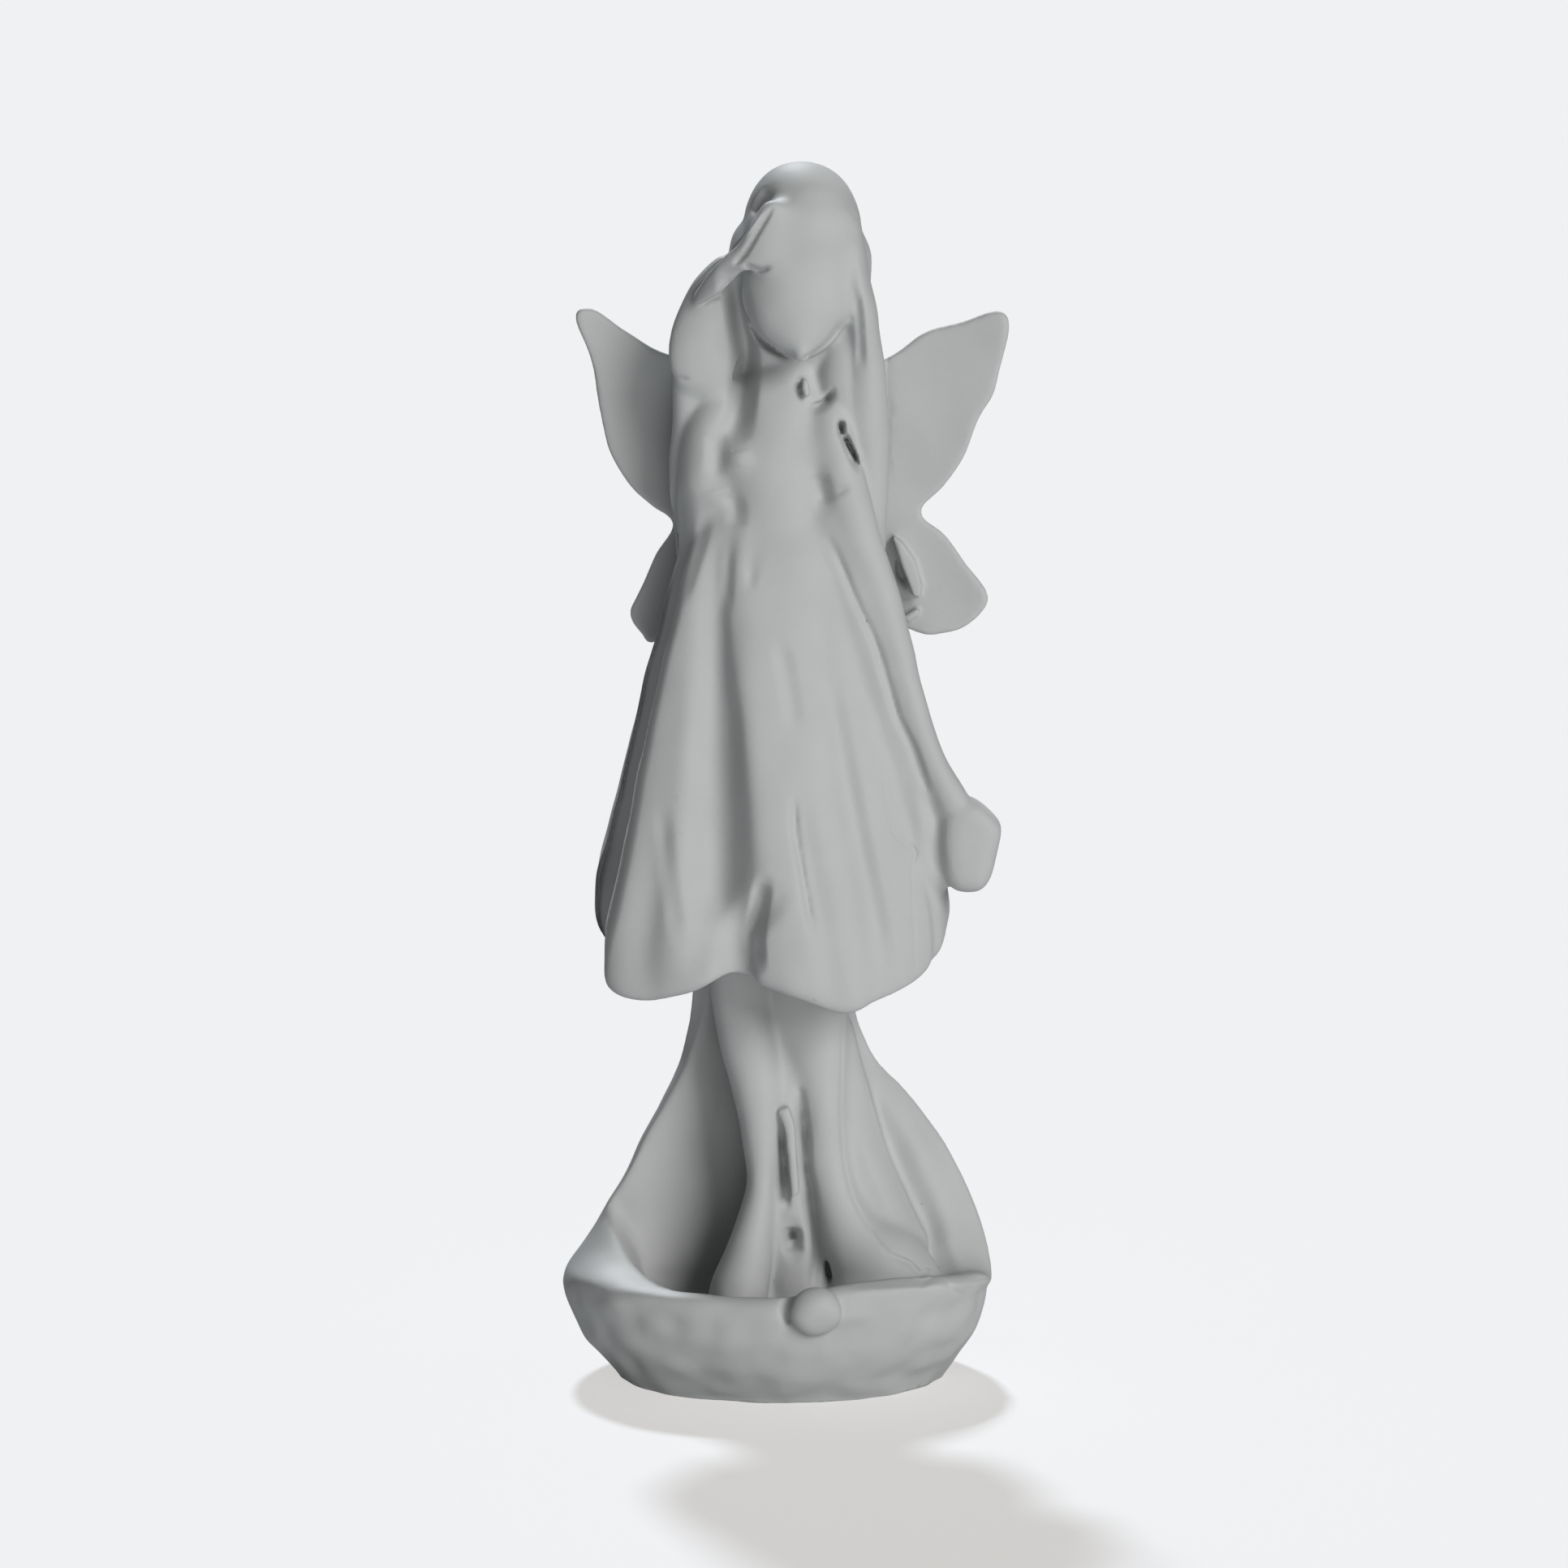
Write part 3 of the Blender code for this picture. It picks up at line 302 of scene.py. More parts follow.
# Limbs: the landmark they hang from, then rows of x, y, height from it, half width, half depth
BODY_LIMBS = {
    "trunk": (
        SHOULDER,
        [
            (-2.4, -0.8, -44, 11.6, 10.0),
            (-2.4, -0.8, -34, 12.6, 11.0),
            (-2.0, -1.0, -24, 12.6, 12.0),
            (-1.4, -1.4, -10, 12.4, 12.0),
            (-0.4, -1.0, -2, 12.5, 10.4),
            (1.0, 0.0, 4, 9.0, 8.0),
            (2.0, 0.0, 9, 6.4, 6.8),
            (3.0, -3.0, 17, 5.6, 6.2),
        ],
    ),
    "left_arm": (
        SHOULDER,
        [
            (-11.6, -1.0, 1, 5.0, 6.2),
            (-13.8, -1.4, -6, 6.2, 8.0),
            (-14.4, -1.2, -14, 6.6, 8.8),
            (-15.2, 0.0, -24, 5.6, 8.0),
            (-16.2, 1.0, -34, 4.4, 6.6),
            (-17.2, 2.0, -42, 3.6, 5.0),
        ],
    ),
    "right_arm": (
        SHOULDER,
        [
            (8.8, -8.0, -5, 4.2, 5.0),
            (11.6, -8.6, -16, 4.5, 4.8),
            (14.3, -9.4, -26, 4.7, 4.6),
            (17.4, -10.2, -34, 4.4, 4.4),
            (20.2, -11.0, -42, 3.8, 4.2),
            (23.3, -12.0, -53, 3.2, 4.0),
            (25.7, -13.0, -61, 2.9, 3.8),
            (28.5, -13.6, -68, 2.8, 3.6),
            (31.6, -13.6, -74, 3.2, 3.8),
            (34.0, -13.2, -78, 3.0, 3.8),
        ],
    ),
    "cloth_behind_right_arm": (
        SHOULDER,
        [
            (9.0, -6.0, -20, 5.5, 6.5),
            (13.0, -7.6, -36, 6.0, 7.0),
            (17.5, -8.8, -50, 6.2, 7.0),
            (22.5, -9.6, -66, 6.2, 6.4),
            (27.0, -9.8, -80, 6.0, 6.2),
            (29.0, -9.6, -90, 4.8, 5.4),
        ],
    ),
    "left_leg": (
        HEM,
        [
            (-9.0, -5.0, 10, 6.4, 6.6),
            (-8.8, -6.0, -4, 5.6, 6.4),
            (-6.8, -8.0, -13, 5.5, 6.0),
            (-5.0, -8.8, -24, 4.6, 5.6),
            (-4.5, -9.4, -32, 3.6, 5.2),
            (-4.5, -10.0, -39, 3.1, 5.0),
            (-5.3, -11.5, -46, 3.6, 5.2),
            (-7.2, -14.0, -54, 4.7, 6.0),
            (-8.8, -16.0, -61, 5.8, 7.4),
            (-9.2, -16.0, -70, 6.4, 8.0),
        ],
    ),
    "right_leg": (
        HEM,
        [
            (5.0, -3.0, 10, 8.0, 6.6),
            (4.6, -4.2, -6, 8.2, 6.4),
            (6.2, -5.4, -15, 6.4, 6.2),
            (7.8, -6.6, -26, 4.6, 5.8),
            (8.6, -7.6, -36, 4.6, 5.4),
            (10.4, -9.0, -43, 4.8, 5.6),
            (13.8, -10.4, -50, 6.4, 6.4),
            (18.0, -11.2, -56, 10.0, 8.0),
            (19.6, -12.0, -62, 12.4, 9.0),
            (19.6, -12.0, -70, 13.0, 9.6),
        ],
    ),
    "web_between_legs": (
        HEM,
        [
            (0.6, -4.0, -12, 4.6, 4.2),
            (1.0, -6.4, -24, 3.6, 4.6),
            (1.4, -7.4, -38, 3.8, 4.4),
            (2.0, -8.8, -50, 5.4, 4.8),
            (2.4, -10.0, -68, 7.0, 6.0),
        ],
    ),
    "web_beside_right_leg": (
        HEM,
        [
            (10.4, -1.4, -10, 3.4, 4.2),
            (12.2, -2.0, -22, 4.4, 5.0),
            (14.6, -2.8, -34, 5.4, 5.6),
            (17.2, -4.4, -44, 6.8, 6.2),
            (20.5, -7.0, -54, 8.5, 6.8),
        ],
    ),
}
HEAD_LIMBS = {
    "face": (
        CHIN,
        [
            (3.3, -15.2, 0.5, 1.8, 2.4),
            (3.2, -14.2, 1.9, 4.8, 4.8),
            (3.1, -12.8, 4.0, 7.6, 7.0),
            (3.0, -11.2, 7.4, 9.8, 8.9),
            (2.9, -9.0, 12.5, 11.0, 10.2),
            (3.2, -7.2, 18.0, 11.2, 10.8),
            (3.6, -6.0, 25.0, 9.6, 10.4),
            (3.6, -5.0, 30.0, 7.0, 8.0),
        ],
    ),
    "hair_down_back": (
        CROWN,
        [
            (3.8, -3.0, -10, 9.6, 11.4),
            (3.2, -2.4, -16, 13.4, 14.2),
            (2.4, 0.4, -24, 14.4, 13.0),
            (0.6, 2.6, -32, 17.6, 11.4),
            (-1.0, 6.0, -43, 20.0, 7.4),
            (-1.0, 8.0, -55, 20.6, 5.4),
            (-1.2, 9.0, -67, 20.6, 4.8),
            (-1.4, 9.0, -78, 20.0, 4.6),
            (-2.4, 8.0, -89, 18.0, 4.0),
        ],
    ),
    "hair_curtain_right": (
        CROWN,
        [
            (12.6, -6.0, -14, 2.4, 6.0),
            (13.8, -7.5, -22, 2.6, 7.4),
            (15.0, -7.0, -30, 3.0, 6.8),
            (16.0, -5.5, -38, 3.4, 6.0),
            (16.2, -4.0, -49, 4.2, 5.4),
            (16.6, -2.5, -59, 3.6, 4.6),
            (17.2, -1.0, -69, 2.8, 4.2),
            (17.6, 2.0, -75, 2.2, 3.6),
        ],
    ),
    "hanging_lock_left": (
        CROWN,
        [
            (-10.4, -4.4, -21, 4.0, 4.0),
            (-13.3, -5.0, -27, 5.8, 3.8),
            (-14.8, -5.6, -33, 7.0, 3.4),
            (-15.2, -6.0, -38, 7.0, 3.0),
            (-15.6, -6.0, -41, 6.2, 2.6),
        ],
    ),
    "hair_beside_neck": (
        CROWN,
        [
            (12.0, -5.0, -24, 3.6, 4.6),
            (12.4, -4.6, -32, 4.4, 5.0),
            (11.6, -4.2, -42, 5.0, 5.2),
            (12.4, -3.6, -52, 4.6, 5.0),
        ],
    ),
    "hair_edge_left": (
        SHOULDER,
        [
            (-18.0, -3.0, 5, 3.4, 3.4),
            (-18.8, -1.0, -4, 2.8, 3.4),
            (-19.6, 1.0, -12, 3.0, 3.4),
            (-18.8, 3.5, -24, 2.6, 3.4),
        ],
    ),
    "wing_root": (
        WAIST,
        [
            (0.0, 10.0, -6, 5.0, 4.0),
            (0.0, 11.0, 10, 7.0, 4.5),
            (0.0, 9.0, 30, 6.0, 4.0),
        ],
    ),
}

# Rounded masses: the landmark height, then x, y, height from it, and the three half sizes
BODY_MASSES = {
    "sleeve": (SHOULDER, (8.6, -7.0, -7.0), (4.8, 5.8, 8.6)),
    "bust_left": (SHOULDER, (-8.0, -7.2, -10.0), (4.8, 5.4, 5.2)),
    "bust_right": (SHOULDER, (0.6, -8.0, -9.5), (7.4, 4.8, 6.4)),
    "ribs_left": (SHOULDER, (-11.6, -5.4, -17.0), (4.6, 4.4, 5.6)),
}
HEAD_MASSES = {
    "crown": (CROWN, (3.4, -4.2, -13.0), (11.4, 14.4, 13.0)),
    "fringe": (CROWN, (3.6, -7.6, -13.4), (11.5, 12.0, 9.4)),
}
RIM_BEAD = ((5.9, -33.4, 20.2), (4.9, 3.6, 4.9))

# Wing outlines as (x, height from the waist), from the top of the root round the tips
WINGS = {
    "right": [
        (4.0, 30.0),
        (19.5, 34.0),
        (27.5, 39.2),
        (34.5, 41.2),
        (41.6, 43.4),
        (44.0, 40.6),
        (42.2, 31.5),
        (41.0, 27.0),
        (38.2, 22.4),
        (35.6, 15.2),
        (31.4, 8.8),
        (27.0, 3.8),
        (31.8, -0.4),
        (36.0, -6.4),
        (40.2, -12.8),
        (37.0, -17.8),
        (32.0, -19.9),
        (24.0, -19.0),
        (4.0, -6.0),
    ],
    "left": [
        (-4.0, 30.0),
        (-22.4, 34.8),
        (-30.4, 39.3),
        (-37.4, 43.8),
        (-40.8, 42.2),
        (-37.2, 31.6),
        (-35.4, 20.0),
        (-33.6, 14.6),
        (-29.8, 8.8),
        (-25.8, 5.0),
        (-22.0, 1.5),
        (-25.4, -4.6),
        (-29.0, -12.4),
        (-30.4, -16.2),
        (-28.2, -19.9),
        (-24.0, -21.2),
        (-4.0, -6.0),
    ],
}

# The lock swept across to the left, as (x, height from the crown), from its top round the tip
SWEPT_LOCK = [
    (-1.4, -6.8),
    (-3.4, -7.2),
    (-5.2, -9.4),
    (-6.4, -11.8),
    (-8.8, -15.6),
    (-11.4, -18.0),
    (-14.8, -21.6),
    (-17.6, -26.0),
    (-16.6, -27.4),
    (-13.0, -25.2),
    (-9.8, -22.2),
    (-7.6, -20.4),
    (-2.6, -20.0),
    (3.0, -14.0),
    (1.0, -8.6),
]

# The purse's outline as (x, height from the shoulder)
PURSE = [
    (30.6, -78.6),
    (33.7, -75.4),
    (37.2, -75.6),
    (41.2, -79.2),
    (42.1, -81.8),
    (40.9, -87.4),
    (39.5, -91.2),
    (37.2, -93.2),
    (32.8, -92.8),
    (30.4, -88.4),
]

# Raised slivers on the casting: y of the front face at its top and bottom, then its (x, z) outline
SLIVERS = {
    "between_the_legs": (
        -13.8,
        -15.0,
        [
            (-1.2, 55.4),
            (0.8, 56.0),
            (2.0, 52.6),
            (2.3, 46.4),
            (3.1, 39.0),
            (1.3, 38.0),
            (0.9, 45.7),
            (0.3, 51.4),
        ],
    ),
    "by_the_wing": (
        7.6,
        7.6,
        [
            (21.4, 165.4),
            (23.2, 164.1),
            (25.8, 160.7),
            (27.2, 155.8),
            (26.7, 153.3),
            (25.2, 153.7),
            (23.0, 159.9),
        ],
    ),
    "under_the_wing": (
        8.6,
        8.6,
        [(23.0, 149.4), (24.6, 150.4), (26.5, 151.4), (26.6, 150.2), (24.4, 148.4)],
    ),
    "throat": (
        -10.2,
        -11.2,
        [(3.6, 197.6), (4.4, 197.0), (5.0, 194.2), (4.2, 193.9), (3.5, 195.0)],
    ),
}

# Marks pressed into the front: depth, radius, the furthest back they reach, then (x, z) points
STROKES = {
    "leg_slit": (
        3.4,
        1.5,
        -2,
        [(3.0, 58.5), (3.9, 50.8), (4.4, 43.9), (5.4, 38.5), (6.0, 32.0), (6.0, 25.0), (5.8, 20.5)],
    ),
    "leg_patch": (2.6, 2.0, -2, [(4.6, 40.5), (5.8, 33.5), (6.4, 27.0), (6.0, 21.5)]),
    "sliver_slit": (3.0, 0.9, -2, [(-0.8, 51.0), (-0.1, 43.9), (0.5, 36.2)]),
    "web_recess": (3.2, 2.0, -2, [(1.6, 30.6), (1.8, 28.6)]),
    "right_hollow": (
        1.8,
        6.0,
        8,
        [(14.2, 59.0), (19.5, 50.0), (24.2, 40.0), (27.8, 32.0), (30.5, 26.4)],
    ),
    "rim_line": (
        1.2,
        1.2,
        -20,
        [(12.6, 25.0), (16.6, 25.1), (21.5, 24.8), (28.2, 24.3), (33.6, 24.0)],
    ),
    "bead_shadow": (1.6, 1.3, -25, [(1.0, 23.6), (0.2, 20.6), (1.2, 17.6)]),
    "arm_line": (
        1.1,
        1.2,
        6,
        [
            (8.6, 167.0),
            (10.8, 162.5),
            (13.7, 155.5),
            (17.5, 147.2),
            (19.9, 139.5),
            (22.0, 132.6),
            (24.6, 127.4),
            (26.9, 120.8),
            (28.6, 115.9),
        ],
    ),
    "purse_valley": (1.2, 2.6, 6, [(27.6, 118.0), (28.9, 112.4), (29.0, 107.5), (30.2, 102.5)]),
    "sleeve_hem": (1.0, 1.4, 6, [(5.0, 180.4), (6.6, 176.8), (9.6, 176.0), (12.4, 176.9)]),
    "collar": (1.8, 1.4, 6, [(5.0, 191.6), (7.3, 192.4), (9.4, 194.2)]),
    "diamond_slit": (4.5, 0.8, 6, [(10.8, 188.4), (11.0, 187.2)]),
    "long_slit": (4.5, 0.9, 6, [(11.7, 185.6), (12.6, 184.0), (13.6, 182.0)]),
    "wing_slit": (4.0, 1.2, 12, [(20.8, 164.6), (21.8, 160.2), (24.0, 155.6)]),
    "neck_hollow": (
        1.8,
        3.6,
        6,
        [(-9.4, 214.0), (-8.4, 209.0), (-7.6, 203.0), (-7.8, 196.0), (-8.8, 190.0), (-11.4, 185.0)],
    ),
    "jaw_left": (
        1.5,
        1.7,
        6,
        [(-9.8, 215.6), (-7.8, 209.2), (-5.2, 205.4), (-2.0, 202.8), (1.4, 201.2)],
    ),
    "hem_curl": (3.0, 2.2, 6, [(-3.8, 102.5), (-4.6, 98.0), (-5.6, 92.0), (-5.2, 86.5)]),
    "throat_pit": (1.6, 1.5, 6, [(3.4, 197.8), (3.6, 194.0)]),
    "bust_left_crease": (0.7, 1.8, 6, [(-12.2, 185.0), (-12.4, 182.0), (-11.6, 179.0)]),
    "under_bust": (1.2, 2.4, 6, [(-9.4, 173.0), (-8.4, 171.6)]),
    "lobe_hollow": (2.2, 1.9, 6, [(-2.4, 233.4), (-4.4, 231.2), (-6.0, 228.6)]),
    "fringe_crease": (1.1, 1.0, 6, [(-7.1, 219.1), (-4.2, 218.5), (-1.0, 219.6)]),
    "skirt_crease": (
        1.2,
        1.1,
        6,
        [(1.9, 117.9), (2.1, 113.0), (3.1, 106.1), (4.1, 100.5), (5.5, 92.9)],
    ),
    "waist_fold_left": (0.9, 1.9, 6, [(-15.0, 170.0), (-17.0, 163.4), (-19.4, 156.0)]),
    "waist_fold_mid": (0.9, 1.7, 6, [(-9.8, 170.0), (-10.5, 163.0), (-11.0, 154.0)]),
    "waist_fold_right": (0.6, 1.6, 6, [(-5.3, 170.0), (-6.0, 164.0), (-6.4, 158.0)]),
}

# Lumps left by hand on the dish's outer wall: how deep, how wide and how tall they are, the height
# they stop at, and how far below it they reach their full depth
LUMP_DEPTH = 0.8
LUMP_WIDTH = 6.5
LUMP_HEIGHT = 5.5
LUMP_TOP = 24.0
LUMP_FADE = 5.0

# The slight waves all over the skin
WAVE_DEPTH = 0.4
WAVE_WIDTH = 9.0

# How much one turn evens out the middle of a soft area, then the soft areas of the front: middle as
# (x, z), how far each reaches across and up, and how many turns it gets
SOFTENING = 0.5
SOFT_AREAS = {
    "face": ((4.0, 220.5), (11.0, 17.6), 120),
    "torso": ((-3.0, 177.0), (15.0, 18.0), 60),
    "hanging_lock": ((-14.5, 198.5), (8.0, 8.0), 60),
    "hair_right": ((18.5, 197.0), (6.0, 14.0), 60),
    "left_lip": ((-34.0, 33.0), (9.0, 12.0), 80),
}

# The share of a stroke's length over which it fades at each end, with the part of that share that
# lies past the end
END_SHARE = 0.3
END_REACH = END_SHARE / 3

# How fast strokes and lumps gain their full depth as the skin turns to the front
STROKE_GAIN = 2.5
LUMP_GAIN = 2.0

# Finer marks, as in STROKES; a depth below 0 raises the surface
FINE_STROKES = {
    "leg_seam": (
        0.4,
        0.6,
        2,
        [(11.6, 74.1), (11.2, 62.0), (11.2, 50.4), (13.0, 39.2), (17.8, 30.8), (24.7, 23.8)],
    ),
    "hem_seam": (
        0.4,
        0.6,
        6,
        [(19.1, 119.9), (20.5, 113.0), (21.9, 109.6), (25.3, 106.8), (24.7, 101.9), (25.4, 83.8)],
    ),
    "rim_crumple": (
        0.7,
        0.9,
        -16,
        [(19.7, 28.0), (24.5, 25.9), (26.6, 23.8), (30.0, 24.5), (34.1, 20.3)],
    ),
    "neck_wedge": (
        3.4,
        3.4,
        6,
        [(-10.2, 217.0), (-8.6, 210.0), (-7.4, 203.0), (-7.8, 196.0), (-8.6, 188.0)],
    ),
    "under_jaw": (
        3.2,
        1.4,
        6,
        [(-6.8, 209.0), (-4.6, 205.4), (-2.0, 203.2), (1.2, 202.0)],
    ),
    "jaw_right": (1.5, 1.1, 6, [(3.4, 201.4), (6.4, 202.8), (9.2, 205.6), (11.0, 208.4)]),
    "collar_point": (1.6, 0.9, 6, [(5.6, 192.0), (8.0, 193.0), (9.4, 195.2)]),
    "lock_hem": (0.6, 0.7, 6, [(-22.6, 199.0), (-20.8, 197.6), (-18.4, 197.4)]),
    "lock_under": (0.9, 0.6, 6, [(-15.9, 211.4), (-14.0, 212.6), (-11.4, 213.6), (-9.8, 214.9)]),
    "brow_gap": (1.4, 0.8, 6, [(-7.0, 219.4), (-4.6, 218.4), (-2.8, 219.0)]),
    "lock_rim": (
        -0.7,
        0.7,
        6,
        [
            (-3.2, 231.7),
            (-5.4, 227.7),
            (-8.8, 223.7),
            (-12.2, 220.3),
            (-15.7, 216.9),
            (-17.7, 214.6),
        ],
    ),
    "lock_edge_shade": (
        1.2,
        0.8,
        6,
        [(-2.4, 230.0), (-5.0, 225.6), (-7.4, 221.6), (-9.4, 219.6)],
    ),
    "wing_line": (0.3, 0.5, 16, [(20.4, 205.0), (20.2, 195.0), (20.6, 185.0), (20.2, 176.0)]),
    "curtain_edge": (1.0, 1.4, 8, [(13.8, 214.0), (14.4, 208.0), (14.8, 200.0)]),
    "diamond_deep": (4.5, 1.2, 6, [(10.8, 189.4), (11.0, 188.0), (11.1, 186.6)]),
    "slot_deep": (5.0, 1.3, 6, [(11.4, 187.0), (12.4, 184.6), (13.2, 182.8), (14.2, 180.6)]),
    "bust_mound": (-0.6, 3.6, 6, [(-8.8, 184.0), (-8.4, 180.6)]),
    "rib_mound": (-0.6, 3.8, 6, [(-13.6, 176.4), (-12.6, 172.4)]),
    "side_dip": (0.6, 2.8, 6, [(-13.2, 187.0), (-12.9, 182.5), (-13.6, 178.6)]),
    "rib_dip": (0.6, 2.6, 6, [(-9.8, 175.0), (-9.0, 172.0), (-9.2, 169.0)]),
    "sleeve_dip": (1.0, 2.6, 6, [(6.6, 179.4), (7.4, 176.6), (7.8, 173.6)]),
    "valley_right": (0.6, 3.0, 6, [(8.9, 139.0), (12.0, 122.0), (15.6, 105.0), (19.3, 87.7)]),
    "valley_middle": (0.5, 2.6, 6, [(-0.7, 147.3), (0.8, 140.0), (2.0, 132.0)]),
    "valley_left": (0.5, 2.4, 6, [(-23.3, 114.7), (-22.0, 103.0), (-20.6, 91.8)]),
    "round_recess": (2.6, 2.6, -2, [(1.6, 32.0), (1.7, 29.5), (1.8, 27.0)]),
    "left_panel_turn": (
        7.0,
        6.5,
        8,
        [
            (-22.0, 172.0),
            (-25.2, 156.7),
            (-28.6, 142.9),
            (-32.1, 125.6),
            (-34.9, 109.6),
            (-37.7, 96.4),
            (-39.9, 88.0),
            (-41.5, 78.0),
            (-43.0, 62.0),
        ],
    ),
}

UP = np.array([0.0, 0.0, 1.0])


def smooth(t):
    """Eases 0 to 1 with no corner at either end."""
    t = np.clip(t, 0.0, 1.0)
    return t * t * (3.0 - 2.0 * t)


def curve_through(a, b, c, d, t):
    """The smooth curve from b to c, with a and d as the points before and after them."""
    bend = 2 * a - 5 * b + 4 * c - d
    return 0.5 * (2 * b + (c - a) * t + bend * t**2 + (3 * b - a - 3 * c + d) * t**3)


def spline(points, count):
    """count points evenly spread on a smooth open curve through the given points."""
    p = np.array(points, float)
    p = np.vstack([2 * p[0] - p[1], p, 2 * p[-1] - p[-2]])
    place = np.linspace(0, len(p) - 3, count)
    i = np.minimum(place.astype(int), len(p) - 4)
    return curve_through(p[i], p[i + 1], p[i + 2], p[i + 3], (place - i)[:, None])


def closed_spline(points, count):
    """count points on a smooth closed curve through the given points."""
    p = np.array(points, float)
    place = np.arange(count) * len(p) / count
    i = place.astype(int)
    a, b, c, d = (p[(i + k) % len(p)] for k in (-1, 0, 1, 2))
    return curve_through(a, b, c, d, (place - i)[:, None])


def between_keys(place, value, slope, at):
    """Values at places on the smooth curve that has the given values and slopes at its keys."""
    i = np.clip(np.searchsorted(place, at) - 1, 0, len(place) - 2)
    gap = (place[i + 1] - place[i])[:, None]
    t = (at - place[i])[:, None] / gap
    start = (2 * t**3 - 3 * t**2 + 1) * value[i] + (t**3 - 2 * t**2 + t) * gap * slope[i]
    finish = (3 * t**2 - 2 * t**3) * value[i + 1] + (t**3 - t**2) * gap * slope[i + 1]
    return start + finish


def ease(keys, at):
    """Values at one place between (place, value, ...) keys, which never swing past a key."""
    place = np.array([k[0] for k in keys], float)
    value = np.array([k[1:] for k in keys], float)
    rise = np.diff(value, axis=0) / np.diff(place)[:, None]
    both = rise[:-1] * rise[1:]
    slope = np.zeros_like(value)
    slope[1:-1] = np.where(both > 0, 2 * both / np.where(both > 0, rise[:-1] + rise[1:], 1), 0)
    slope[0], slope[-1] = rise[0], rise[-1]
    return between_keys(place, value, slope, np.array([at]))[0]


def around(keys, angle):
    """Values at angles in degrees, on a smooth closed curve through (angle, value, ...) keys."""
    keys = sorted(keys)
    wrapped = [(keys[-1][0] - 360, *keys[-1][1:]), *keys, (keys[0][0] + 360, *keys[0][1:])]
    place = np.array([k[0] for k in wrapped], float)
    value = np.array([k[1:] for k in wrapped], float)
    return between_keys(place, value, np.gradient(value, place, axis=0), angle)


def full_turn(sides):
    """Angles in degrees round a full turn, with how far each points across and away from the front."""
    angle = np.linspace(-180, 180, sides, endpoint=False)
    return angle, np.sin(np.radians(angle)), -np.cos(np.radians(angle))


def inward_from(ring, centre):
    """Level unit directions from each point of a ring to its centre."""
    inward = centre - ring
    inward[:, 2] = 0
    return inward / np.linalg.norm(inward, axis=1)[:, None]


def loft(bm, rings):
    """A closed skin over rings that all have as many points, closed by a point at either end."""
    rows = [[bm.verts.new(Vector(p) * MM) for p in ring] for ring in rings]
    count = len(rows[0])
    for low, high in zip(rows, rows[1:]):
        for k in range(count):
            n = (k + 1) % count
            bm.faces.new((low[k], low[n], high[n], high[k]))
    for row, below in ((rows[0], True), (rows[-1], False)):
        tip = bm.verts.new(sum((v.co for v in row), Vector()) / count)
        for k in range(count):
            pair = (row[k], row[(k + 1) % count])
            bm.faces.new((*(pair[::-1] if below else pair), tip))


def smooth_rings(*rings, steps=4):
    """The rings with more between them, so that a skin over them curves from each to the next."""
    stack = np.array(rings)
    count = steps * (len(stack) - 1) + 1
    return list(spline(stack.reshape(len(stack), -1), count).reshape(count, -1, 3))


def round_end(ring, before):
    """Two shrinking rings beyond an end, which give a limb a rounded tip."""
    middle = ring.mean(0)
    step = middle - before.mean(0)
    reach = step / np.linalg.norm(step) * np.linalg.norm(ring - middle, axis=1).mean()
    steps = ((0.8, 0.45), (0.4, 0.75))
    return [middle + (ring - middle) * share + reach * far for share, far in steps]


def limb(bm, base, stations, sides=40, rows=54):
    """A tapering limb with rounded ends along its rows, which are as in the tables of limbs."""
    line = spline(stations, rows)
    line[:, 2] += base
    line[:, 3:] = np.maximum(line[:, 3:], 0.2)
    axes = np.gradient(line[:, :3], axis=0)
    axes /= np.linalg.norm(axes, axis=1)[:, None]
    turn = np.linspace(0, 2 * math.pi, sides, endpoint=False)[:, None]
    rings = []
    for place, axis in zip(line, axes):
        side = np.cross((0.0, 1.0, 0.0), axis)
        side /= np.linalg.norm(side)
        depth = np.cross(axis, side)
        rings.append(place[:3] + side * place[3] * np.cos(turn) + depth * place[4] * np.sin(turn))
    start = round_end(rings[0], rings[1])[::-1]
    finish = round_end(rings[-1], rings[-2])
    loft(bm, start + rings + finish)


def ball(bm, centre, radii, sides=36):
    """An ellipsoid."""
    made = bmesh.ops.create_uvsphere(bm, u_segments=sides, v_segments=sides // 2, radius=1.0)
    for v in made["verts"]:
        v.co = Vector([(c + r * k) * MM for c, r, k in zip(centre, radii, v.co)])


def plate(bm, outline, thickness, depth_at, edge):
    """A flat form with rounded edges, cut to an (x, z) outline and set back by depth_at(x, z)."""
    curve = bpy.data.curves.new("plate", "CURVE")
    curve.dimensions = "2D"
    curve.fill_mode = "BOTH"
    curve.extrude = (thickness / 2 - edge) * MM
    curve.bevel_depth = edge * MM
    curve.bevel_resolution = PLATE_EDGE_STEPS
    curve.offset = -edge * MM
    line = curve.splines.new("POLY")
    line.points.add(len(outline) - 1)
    for point, (x, z) in zip(line.points, outline):
        point.co = (x * MM, z * MM, 0.0, 1.0)
    line.use_cyclic_u = True
    mesh = evaluated(bpy.data.objects.new("plate", curve), voxel=PLATE_VOXEL)
    for v in mesh.vertices:
        x, z, offset = v.co
        v.co = (x, offset + depth_at(x / MM, z / MM) * MM, z)
    mesh.flip_normals()
    bm.from_mesh(mesh)


